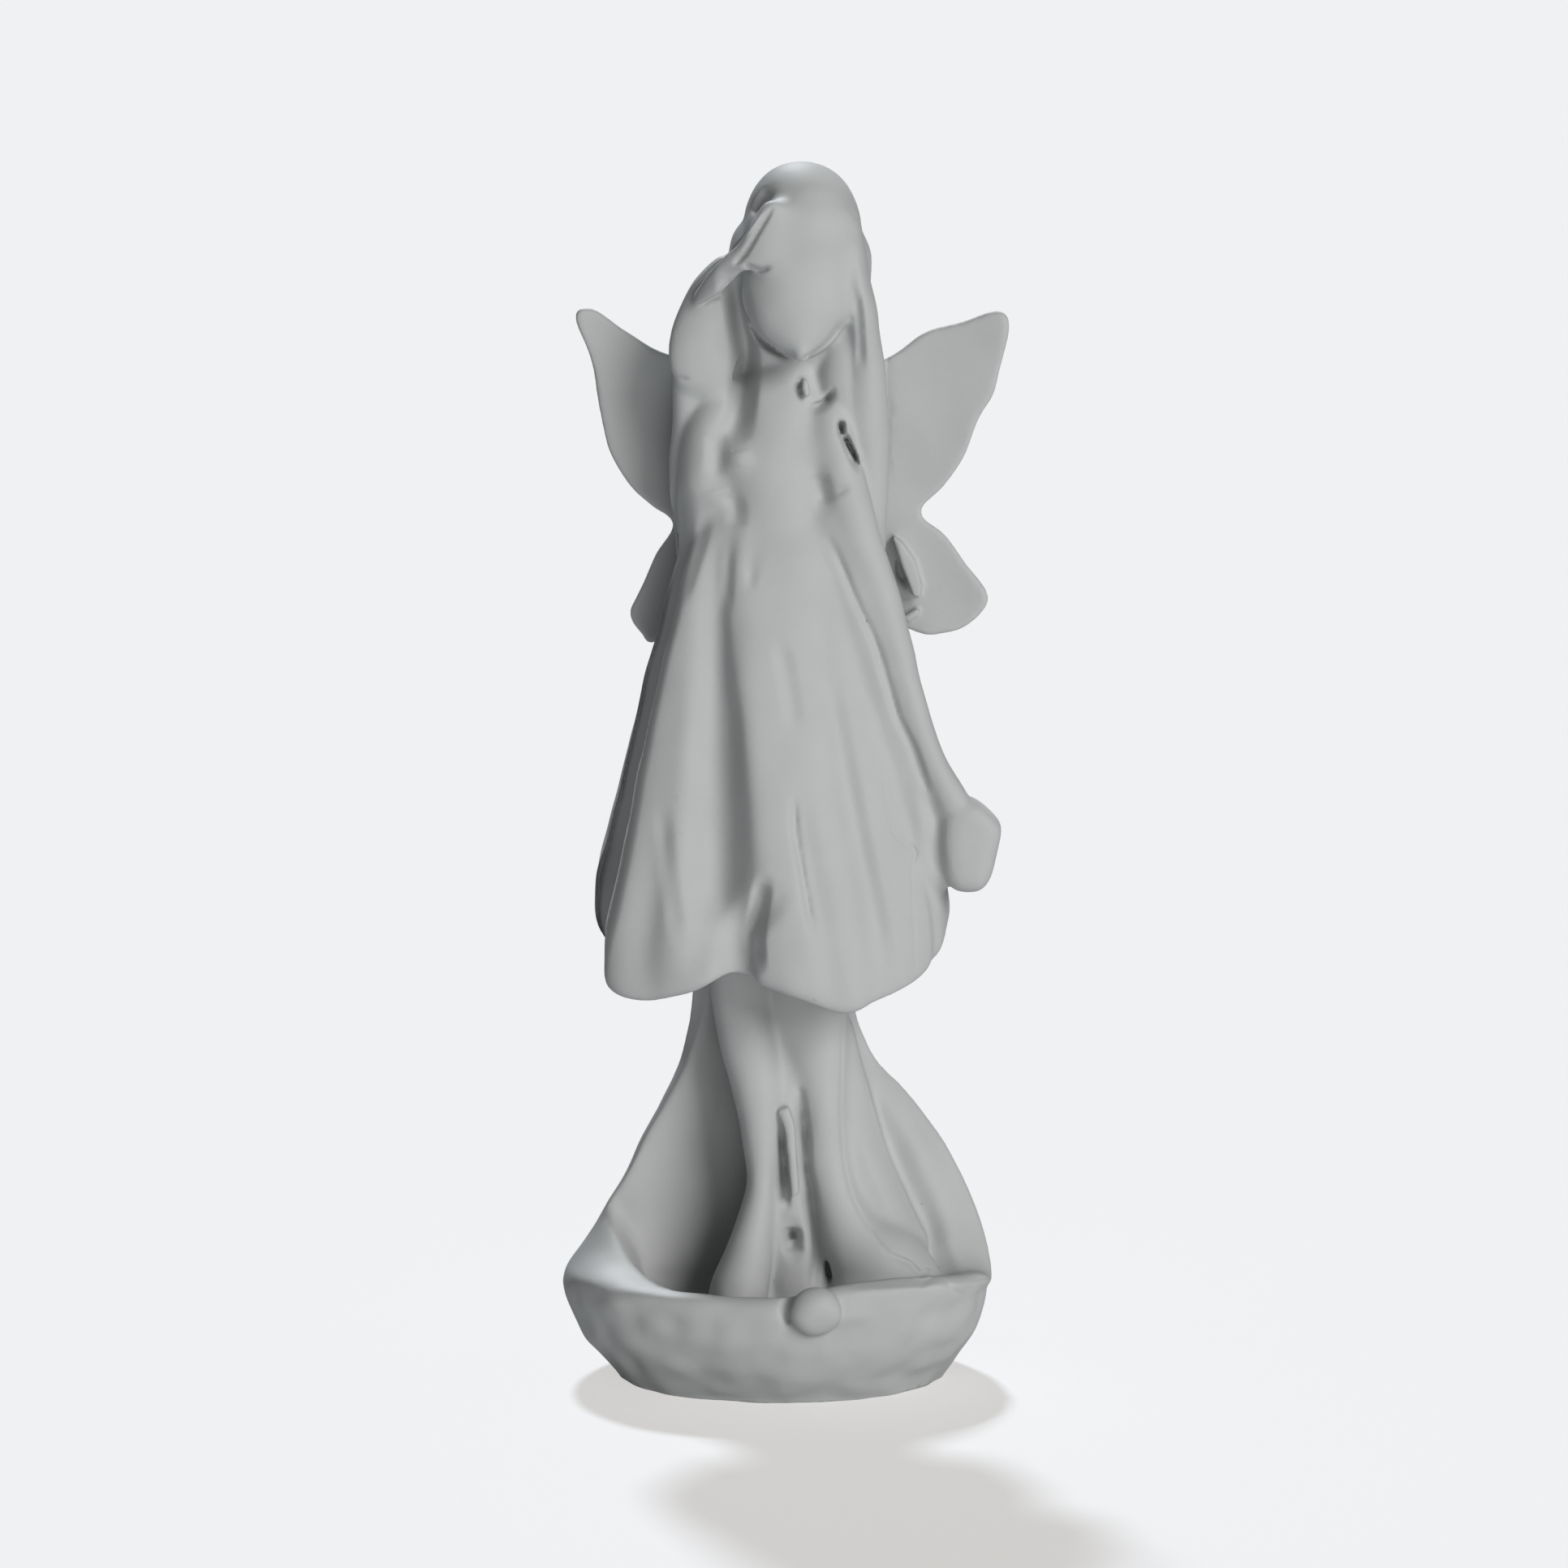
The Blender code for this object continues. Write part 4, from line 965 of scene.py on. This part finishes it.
def evaluated(obj, voxel=0.0, blend=0.0):
    """The object's mesh after fusing it at a voxel size or softening it; the object is removed."""
    bpy.context.scene.collection.objects.link(obj)
    if voxel:
        fuse = obj.modifiers.new("fuse", "REMESH")
        fuse.mode = "VOXEL"
        fuse.voxel_size = voxel * MM
    if blend:
        soften = obj.modifiers.new("soften", "SMOOTH")
        soften.factor = 0.5
        soften.iterations = max(1, round(2 * (blend / VOXEL) ** 2))
    graph = bpy.context.evaluated_depsgraph_get()
    mesh = bpy.data.meshes.new_from_object(obj.evaluated_get(graph))
    bpy.data.objects.remove(obj)
    return mesh


def fused(bm, blend):
    """All the forms as one closed skin, with their meeting lines softened."""
    bmesh.ops.recalc_face_normals(bm, faces=bm.faces)
    mesh = bpy.data.meshes.new("forms")
    bm.to_mesh(mesh)
    bm.free()
    mesh = evaluated(bpy.data.objects.new("forms", mesh), voxel=VOXEL)
    return evaluated(bpy.data.objects.new("forms", mesh), blend=blend)


def dish(bm, sides=132):
    """A shallow dish with a rolled lip, whose back wall rises as an open petal up to the hem."""
    angle, x, y = full_turn(sides)
    outward = np.stack([x, y, 0 * x], 1)
    right = smooth(x * 1.4)
    back = smooth((np.abs(angle) - 80) / 40)
    foot = outward * (FOOT_HALF_WIDTH, FOOT_HALF_DEPTH, 0) + (FOOT_CENTRE_X, 0, 0)
    belly_height = BELLY_HEIGHT + 2 * np.abs(x)
    belly = np.stack([x * BELLY_HALF_WIDTH + BELLY_CENTRE_X, y * BELLY_HALF_DEPTH, belly_height], 1)
    outer = around(RIM_OUTER, angle)
    inner = around(RIM_INNER, angle)
    floor_y = HOLLOW_CENTRE_Y + y * HOLLOW_HALF_DEPTH - RIGHT_WALL_FORWARD * right * smooth(y)
    floor = np.stack([x * HOLLOW_HALF_WIDTH, floor_y, DISH_FLOOR + RIGHT_FLOOR_RISE * right], 1)
    wall = inner * (0.86, 1, 0.55) + floor * (0, 0, 0.45)
    wall[:, 1] = (inner[:, 1] + floor[:, 1]) / 2 + HOLLOW_DEPTH * back * (1 - right)
    loft(
        bm,
        smooth_rings(
            foot * 0.5 - UP * 4,
            foot * 0.75 - UP * 3.6,
            foot * 0.95 - UP * 2.4,
            foot + UP * 0.6,
            foot + (belly - foot) * 0.45 + outward * 1.8,
            foot + (belly - foot) * 0.8 + outward * 1.2,
            belly,
            belly + (outer - belly) * 0.4 + outward * 0.3,
            belly + (outer - belly) * 0.75 + outward * 0.3,
            outer,
            outer * 0.75 + inner * 0.25 + UP * LIP_ROLL * 0.8,
            outer * 0.45 + inner * 0.55 + UP * LIP_ROLL,
            inner + UP * LIP_ROLL * 0.3,
            inner * 0.55 + wall * 0.45,
            wall,
            wall * (0.5, 0.5, 0.4) + floor * (0.5, 0.5, 0.6),
            floor,
            floor * (0.5, 0.5, 1),
        ),
    )


def fold(keys, share, angle):
    """How far one fold pushes the skirt in, at a share of the way up and at each angle."""
    at, depth, left, right = ease(keys, share)
    off = (angle - at + 180) % 360 - 180
    return depth * smooth(1 - np.where(off < 0, -off / left, off / right))


def back_fold(at):
    """Keys for one of the plain folds round the back of the skirt."""
    width = BACK_FOLD_WIDTH
    depths = ((0.0, BACK_FOLD_DEPTH), (0.5, 0.8 * BACK_FOLD_DEPTH), (1.0, 0.0))
    return [(share, at, depth, width, width) for share, depth in depths]


def skirt_ring(share, angle, x, y):
    """The skirt's outline at a share of the way up to the waist; above 1 it runs into the bodice."""
    width = WAIST_HALF_WIDTH + (HEM_HALF_WIDTH - WAIST_HALF_WIDTH) * ease(SKIRT_FLARE, share)[0]
    depth = width * SKIRT_DEPTH_RATIO
    x = np.sign(x) * np.abs(x) ** SKIRT_SQUARENESS
    y = np.sign(y) * np.abs(y) ** SKIRT_SQUARENESS
    folds = [*SKIRT_FOLDS.values(), *(back_fold(at) for at in BACK_FOLD_ANGLES)]
    push = sum(fold(keys, share, angle) for keys in folds)
    outward = np.stack([x / width, y / depth], 1)
    outward /= np.linalg.norm(outward, axis=1)[:, None]
    hem = HEM + around(HEM_WAVE, angle)[:, 0]
    across = SKIRT_CENTRE_X + width * x - push * outward[:, 0]
    away = SKIRT_CENTRE_Y + depth * y - push * outward[:, 1]
    return np.stack([across, away, hem + (WAIST - hem) * share], 1)


def skirt(bm, sides=300, rows=48):
    """The pleated skirt, with a rounded hem and a shallow recess under it."""
    angle, x, y = full_turn(sides)
    centre = np.array([SKIRT_CENTRE_X, SKIRT_CENTRE_Y, 0.0])
    hem = skirt_ring(0.0, angle, x, y)
    inward = inward_from(hem, centre)
    under = [
        centre + (hem - centre) * (0.3, 0.3, 1) + UP * (HEM_RECESS + 1),
        centre + (hem - centre) * (0.6, 0.6, 1) + UP * HEM_RECESS,
        hem + inward * (HEM_LIP + 2) + UP * (HEM_RECESS - 1.5),
        hem + inward * HEM_LIP + UP * 1.5,
        hem + inward * HEM_LIP * 0.55,
        hem + inward * HEM_LIP * 0.15 + UP * 0.9,
    ]
    shares = np.linspace(HEM_ROUNDING, SKIRT_REACH, rows)
    loft(bm, under + [skirt_ring(share, angle, x, y) for share in shares])


def wings(bm):
    """Two pairs of butterfly wings, dished so that their tips turn towards the viewer."""

    def depth_at(x, z):
        reach = abs(x) / WING_HALF_SPAN
        return WING_SETBACK + WING_DISH * reach - (WING_DISH + WING_TIP_TURN) * reach**2

    for outline in WINGS.values():
        edge = closed_spline([(x, WAIST + height) for x, height in outline], 140)
        plate(bm, [tuple(p) for p in edge], WING_THICKNESS, depth_at, WING_EDGE)


def swept_lock(bm):
    """The lock of hair swept across the brow, which stands off the head along its top edge."""

    def depth_at(x, z):
        bend = LOCK_BEND * (x - LOCK_BEND_X) ** 2
        lean = LOCK_LEAN * abs(z - CROWN + LOCK_LEAN_DROP)
        return LOCK_Y + bend + lean + LOCK_SINK * max(0.0, x + LOCK_SINK_X)

    edge = closed_spline([(x, CROWN + height) for x, height in SWEPT_LOCK], 90)
    plate(bm, [tuple(p) for p in edge], LOCK_THICKNESS, depth_at, LOCK_EDGE)


def purse(bm):
    """The small purse held at the skirt's side."""
    edge = closed_spline([(x, SHOULDER + height) for x, height in PURSE], 60)
    plate(bm, [tuple(p) for p in edge], PURSE_THICKNESS, lambda x, z: PURSE_Y, PURSE_EDGE)


def limbs_and_masses(bm, limbs, masses):
    """Limbs and the rounded masses that belong with them."""
    for base, stations in limbs.values():
        limb(bm, base, stations)
    for base, (x, y, height), radii in masses.values():
        ball(bm, (x, y, base + height), radii)


def slivers(bm):
    """The small raised slivers left on the casting, each rooted in the body behind it."""
    for top_y, bottom_y, outline in SLIVERS.values():
        top = max(z for _, z in outline)
        bottom = min(z for _, z in outline)

        def depth_at(x, z, top=top, bottom=bottom, top_y=top_y, bottom_y=bottom_y):
            return bottom_y + (top_y - bottom_y) * (z - bottom) / (top - bottom) + SLIVER_REACH / 2

        plate(bm, outline, SLIVER_REACH, depth_at, SLIVER_EDGE)


def read_points(mesh):
    """The mesh's points as rows of x, y and z in metres."""
    spots = np.empty(len(mesh.vertices) * 3)
    mesh.vertices.foreach_get("co", spots)
    return spots.reshape(-1, 3)


def read_normals(mesh):
    """The directions in which the mesh's points face, one row each."""
    facing = np.empty(len(mesh.vertices) * 3)
    mesh.vertex_normals.foreach_get("vector", facing)
    return facing.reshape(-1, 3)


def nearest_on(line, flat):
    """Each (x, z) point's distance to a line of points, and how far along it the nearest place is."""
    gap = np.full(len(flat), np.inf)
    share = np.zeros(len(flat))
    for k, (start, end) in enumerate(zip(line, line[1:])):
        run = end - start
        along = np.clip((flat - start) @ run / max(run @ run, 1e-9), 0, 1)
        far = np.linalg.norm(flat - start - along[:, None] * run, axis=1)
        closer = far < gap
        gap[closer] = far[closer]
        share[closer] = (k + along[closer]) / (len(line) - 1)
    return gap, share


def press(mesh, strokes):
    """Pushes the casting's front back along each stroke, most on its line and less at its ends."""
    spots = read_points(mesh) / MM
    front = np.clip(-STROKE_GAIN * read_normals(mesh)[:, 1], 0, 1)
    flat = spots[:, (0, 2)]
    push = np.zeros(len(spots))
    lift = np.zeros(len(spots))
    for depth, radius, furthest, points in strokes.values():
        line = spline(points, 6 * len(points))
        inside = np.all((flat > line.min(0) - radius) & (flat < line.max(0) + radius), axis=1)
        near = np.flatnonzero(inside & (spots[:, 1] < furthest))
        gap, share = nearest_on(line, flat[near])
        strength = smooth((np.minimum(share, 1 - share) + END_REACH) / END_SHARE)
        amount = depth * strength * smooth(1 - gap / radius)
        if depth > 0:
            push[near] = np.maximum(push[near], amount)
        else:
            lift[near] = np.minimum(lift[near], amount)
    spots[:, 1] += (push + lift) * front
    mesh.vertices.foreach_set("co", (spots * MM).ravel())


def reduced(mesh):
    """The mesh with no more triangles than the budget, finest where it curves most."""
    holder = bpy.data.objects.new("holder", mesh)
    bpy.context.scene.collection.objects.link(holder)
    reduce = holder.modifiers.new("reduce", "DECIMATE")
    reduce.ratio = min(1.0, MOST_TRIANGLES / (2 * len(mesh.polygons)))
    reduce.use_collapse_triangulate = True
    graph = bpy.context.evaluated_depsgraph_get()
    small = bpy.data.meshes.new_from_object(holder.evaluated_get(graph))
    bpy.data.objects.remove(holder)
    return small


def keep_outer_skin(bm):
    """Removes the skins of gaps shut inside the casting, which leaves its one outer skin."""
    unseen = set(bm.faces)
    skins = []
    while unseen:
        skin = {unseen.pop()}
        edge = list(skin)
        while edge:
            fresh = {f for e in edge.pop().edges for f in e.link_faces} - skin
            skin |= fresh
            edge.extend(fresh)
        unseen -= skin
        skins.append(skin)
    skins.sort(key=len)
    for skin in skins[:-1]:
        bmesh.ops.delete(bm, geom=list(skin), context="FACES")


def cut_flat(mesh):
    """Slices the casting off at its underside, which leaves one flat face to stand on."""
    bm = bmesh.new()
    bm.from_mesh(mesh)
    keep_outer_skin(bm)
    geometry = bm.verts[:] + bm.edges[:] + bm.faces[:]
    below = {"plane_co": (0, 0, 0), "plane_no": (0, 0, -1)}
    cut = bmesh.ops.bisect_plane(bm, geom=geometry, clear_outer=True, **below)
    edges = [e for e in cut["geom_cut"] if isinstance(e, bmesh.types.BMEdge)]
    bmesh.ops.holes_fill(bm, edges=edges, sides=0)
    bmesh.ops.triangulate(bm, faces=bm.faces[:])
    bm.to_mesh(mesh)
    bm.free()


def softened(mesh):
    """Evens out the skin inside each soft area, most at its middle and not at all at its edge."""
    spots = read_points(mesh)
    pairs = np.empty(2 * len(mesh.edges), dtype=np.int64)
    mesh.edges.foreach_get("vertices", pairs)
    pairs = pairs.reshape(-1, 2)
    for (x, z), (across, up), turns in SOFT_AREAS.values():
        off = np.hypot((spots[:, 0] / MM - x) / across, (spots[:, 2] / MM - z) / up)
        weight = SOFTENING * smooth(2 * (1 - off)) * (spots[:, 1] < 0)
        near = pairs[(weight[pairs] > 0).any(axis=1)]
        ends = np.concatenate([near[:, 0], near[:, 1]])
        others = np.concatenate([near[:, 1], near[:, 0]])
        chosen, slot = np.unique(ends, return_inverse=True)
        share = (weight[chosen] / np.bincount(slot))[:, None]
        for _ in range(turns):
            step = spots[others] - spots[ends]
            total = np.stack([np.bincount(slot, step[:, k]) for k in range(3)], 1)
            spots[chosen] += total * share
    mesh.vertices.foreach_set("co", spots.ravel())


def lumped(mesh):
    """Leaves the skin slightly uneven and the dish's outer wall lumpy, as if pressed by hand."""
    spots = read_points(mesh) / MM
    facing = read_normals(mesh)
    low = np.clip((LUMP_TOP - spots[:, 2]) / LUMP_FADE, 0, 1)
    wall = low * np.clip(-LUMP_GAIN * facing[:, 1], 0, 1)
    size = np.empty(len(spots))
    for k, (x, y, z) in enumerate(spots.tolist()):
        size[k] = WAVE_DEPTH * noise.noise(Vector((x, y, z)) / WAVE_WIDTH)
        if wall[k]:
            lump = noise.noise(Vector((x / LUMP_WIDTH, y / LUMP_WIDTH, z / LUMP_HEIGHT)))
            size[k] += LUMP_DEPTH * wall[k] * lump
    spots += facing * size[:, None]
    mesh.vertices.foreach_set("co", (spots * MM).ravel())


def casting():
    """The whole figurine as one solid: fused, pressed, then given its bead and slivers."""
    bm = bmesh.new()
    skirt(bm)
    limbs_and_masses(bm, BODY_LIMBS, BODY_MASSES)
    mesh = fused(bm, BODY_BLEND)
    bm = bmesh.new()
    bm.from_mesh(mesh)
    limbs_and_masses(bm, HEAD_LIMBS, HEAD_MASSES)
    for form in (dish, swept_lock, purse, wings):
        form(bm)
    mesh = fused(bm, BLEND)
    press(mesh, STROKES)
    bm = bmesh.new()
    bm.from_mesh(mesh)
    ball(bm, *RIM_BEAD)
    slivers(bm)
    mesh = fused(bm, CREASE_BLEND)
    softened(mesh)
    lumped(mesh)
    press(mesh, FINE_STROKES)
    mesh = reduced(mesh)
    cut_flat(mesh)
    mesh.shade_smooth()
    return mesh


def node(tree, kind, place=(0, 0), **settings):
    """A shader node with some of its settings and inputs filled in."""
    made = tree.nodes.new(kind)
    made.location = place
    for name, value in settings.items():
        if hasattr(made, name):
            setattr(made, name, value)
        else:
            made.inputs[name.replace("_", " ")].default_value = value
    return made


def speckle(tree, where, place, scale, detail):
    """A noise pattern that keeps its place on the figurine."""
    made = node(tree, "ShaderNodeTexNoise", place, Scale=scale, Detail=detail)
    made.inputs["Roughness"].default_value = SPECKLE_ROUGHNESS
    tree.links.new(where.outputs["Object"], made.inputs["Vector"])
    return made


def split_by_viewer(tree, result, to_light, to_camera):
    """Gives the camera one shader and all other light the other."""
    pick = node(tree, "ShaderNodeMixShader", (400, 0))
    rays = node(tree, "ShaderNodeLightPath", (0, 300))
    tree.links.new(rays.outputs["Is Camera Ray"], pick.inputs[0])
    tree.links.new(to_light.outputs[0], pick.inputs[1])
    tree.links.new(to_camera.outputs[0], pick.inputs[2])
    tree.links.new(pick.outputs[0], result.inputs["Surface"])


def resin_look():
    """Matte pale grey casting resin with a faint mottle and a fine grain."""
    material = bpy.data.materials.new("cast_resin")
    material.use_nodes = True
    tree = material.node_tree
    shader = tree.nodes["Principled BSDF"]
    shader.inputs["Roughness"].default_value = RESIN_ROUGHNESS
    shader.inputs["Metallic"].default_value = 0.0
    shader.inputs["Specular IOR Level"].default_value = RESIN_SPECULAR
    where = node(tree, "ShaderNodeTexCoord", (-1100, 0))
    mottle = speckle(tree, where, (-800, 200), MOTTLE_SCALE, MOTTLE_DETAIL)
    tint = node(tree, "ShaderNodeValToRGB", (-500, 200))
    for stop, place, tone in zip(tint.color_ramp.elements, RESIN_TONE_PLACES, RESIN_TONES):
        stop.position = place
        stop.color = (*tone, 1.0)
    grain = speckle(tree, where, (-800, -200), GRAIN_SCALE, GRAIN_DETAIL)
    bump = node(tree, "ShaderNodeBump", (-500, -200), Strength=GRAIN_STRENGTH, Distance=GRAIN_DEPTH)
    tree.links.new(mottle.outputs["Fac"], tint.inputs["Fac"])
    tree.links.new(tint.outputs["Color"], shader.inputs["Base Color"])
    tree.links.new(grain.outputs["Fac"], bump.inputs["Height"])
    tree.links.new(bump.outputs["Normal"], shader.inputs["Normal"])
    return material


def floor_look():
    """A pale floor that glows and keeps the shadow for the camera, and is plain grey to other light."""
    material = bpy.data.materials.new("floor")
    material.use_nodes = True
    tree = material.node_tree
    tree.nodes.clear()
    result = node(tree, "ShaderNodeOutputMaterial", (600, 0))
    bounce = node(tree, "ShaderNodeBsdfDiffuse", (0, 0), Color=(*[FLOOR_BOUNCE] * 3, 1.0))
    seen = node(tree, "ShaderNodeAddShader", (200, -200))
    lit = node(tree, "ShaderNodeBsdfDiffuse", (0, -200), Color=(*FLOOR_LIT, 1.0))
    glow = node(tree, "ShaderNodeEmission", (0, -400), Color=(*FLOOR_GLOW, 1.0))
    tree.links.new(lit.outputs[0], seen.inputs[0])
    tree.links.new(glow.outputs[0], seen.inputs[1])
    split_by_viewer(tree, result, to_light=bounce, to_camera=seen)
    return material


def floor():
    """The plain floor the figurine stands on."""
    half = FLOOR_SPAN / 2
    mesh = bpy.data.meshes.new("floor")
    corners = [(-half, -half, 0), (half, -half, 0), (half, half, 0), (-half, half, 0)]
    mesh.from_pydata(corners, [], [(0, 1, 2, 3)])
    mesh.materials.append(floor_look())
    obj = bpy.data.objects.new("floor", mesh)
    bpy.context.scene.collection.objects.link(obj)


def surroundings():
    """Pale surroundings for the camera, and a weak even light on everything."""
    world = bpy.data.worlds.new("studio")
    world.use_nodes = True
    tree = world.node_tree
    tree.nodes.clear()
    result = node(tree, "ShaderNodeOutputWorld", (600, 0))
    even = node(tree, "ShaderNodeBackground", (0, 0), Color=(*AMBIENT_TINT, 1.0), Strength=AMBIENT)
    pale = node(tree, "ShaderNodeBackground", (0, -200), Color=(*BACKDROP, 1.0), Strength=1.0)
    split_by_viewer(tree, result, to_light=even, to_camera=pale)
    bpy.context.scene.world = world


def lamps(piece):
    """Distant lamps, of which only the shared one also lights the floor and throws a shadow on it."""
    alone = bpy.data.collections.new("figurine_alone")
    alone.objects.link(piece)
    for name, (source, strength, width, colour) in LAMPS.items():
        light = bpy.data.lights.new(name, "SUN")
        light.energy = strength
        light.angle = math.radians(width)
        light.color = colour
        lamp = bpy.data.objects.new(name, light)
        lamp.rotation_euler = Vector(source).to_track_quat("Z", "Y").to_euler()
        bpy.context.scene.collection.objects.link(lamp)
        if name != SHARED_LAMP:
            lamp.light_linking.receiver_collection = alone
            lamp.light_linking.blocker_collection = alone


def camera():
    """The camera at the photograph's angle."""
    rise = math.radians(CAMERA_ELEVATION)
    away = Vector((0.0, -math.cos(rise), math.sin(rise))) * CAMERA_DISTANCE
    data = bpy.data.cameras.new("camera")
    data.lens = CAMERA_LENS
    data.sensor_width = CAMERA_SENSOR
    data.clip_start = CAMERA_NEAR
    data.clip_end = CAMERA_FAR
    eye = bpy.data.objects.new("camera", data)
    eye.location = away + Vector((0.0, 0.0, CAMERA_TARGET_HEIGHT))
    eye.rotation_euler = away.to_track_quat("Z", "Y").to_euler()
    bpy.context.scene.collection.objects.link(eye)
    bpy.context.scene.camera = eye


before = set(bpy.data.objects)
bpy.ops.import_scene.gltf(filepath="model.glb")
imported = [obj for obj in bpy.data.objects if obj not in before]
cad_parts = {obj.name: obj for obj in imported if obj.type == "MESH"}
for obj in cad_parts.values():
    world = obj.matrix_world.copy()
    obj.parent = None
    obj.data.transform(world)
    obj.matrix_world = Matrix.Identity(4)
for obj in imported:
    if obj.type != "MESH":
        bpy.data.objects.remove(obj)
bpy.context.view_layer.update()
figurine = bpy.data.objects.new("figurine", casting())
figurine.data.materials.append(resin_look())
bpy.context.scene.collection.objects.link(figurine)
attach(figurine, "root")
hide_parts("fairy_figurine")
floor()
surroundings()
lamps(figurine)
camera()
bpy.context.scene.view_settings.view_transform = "Standard"
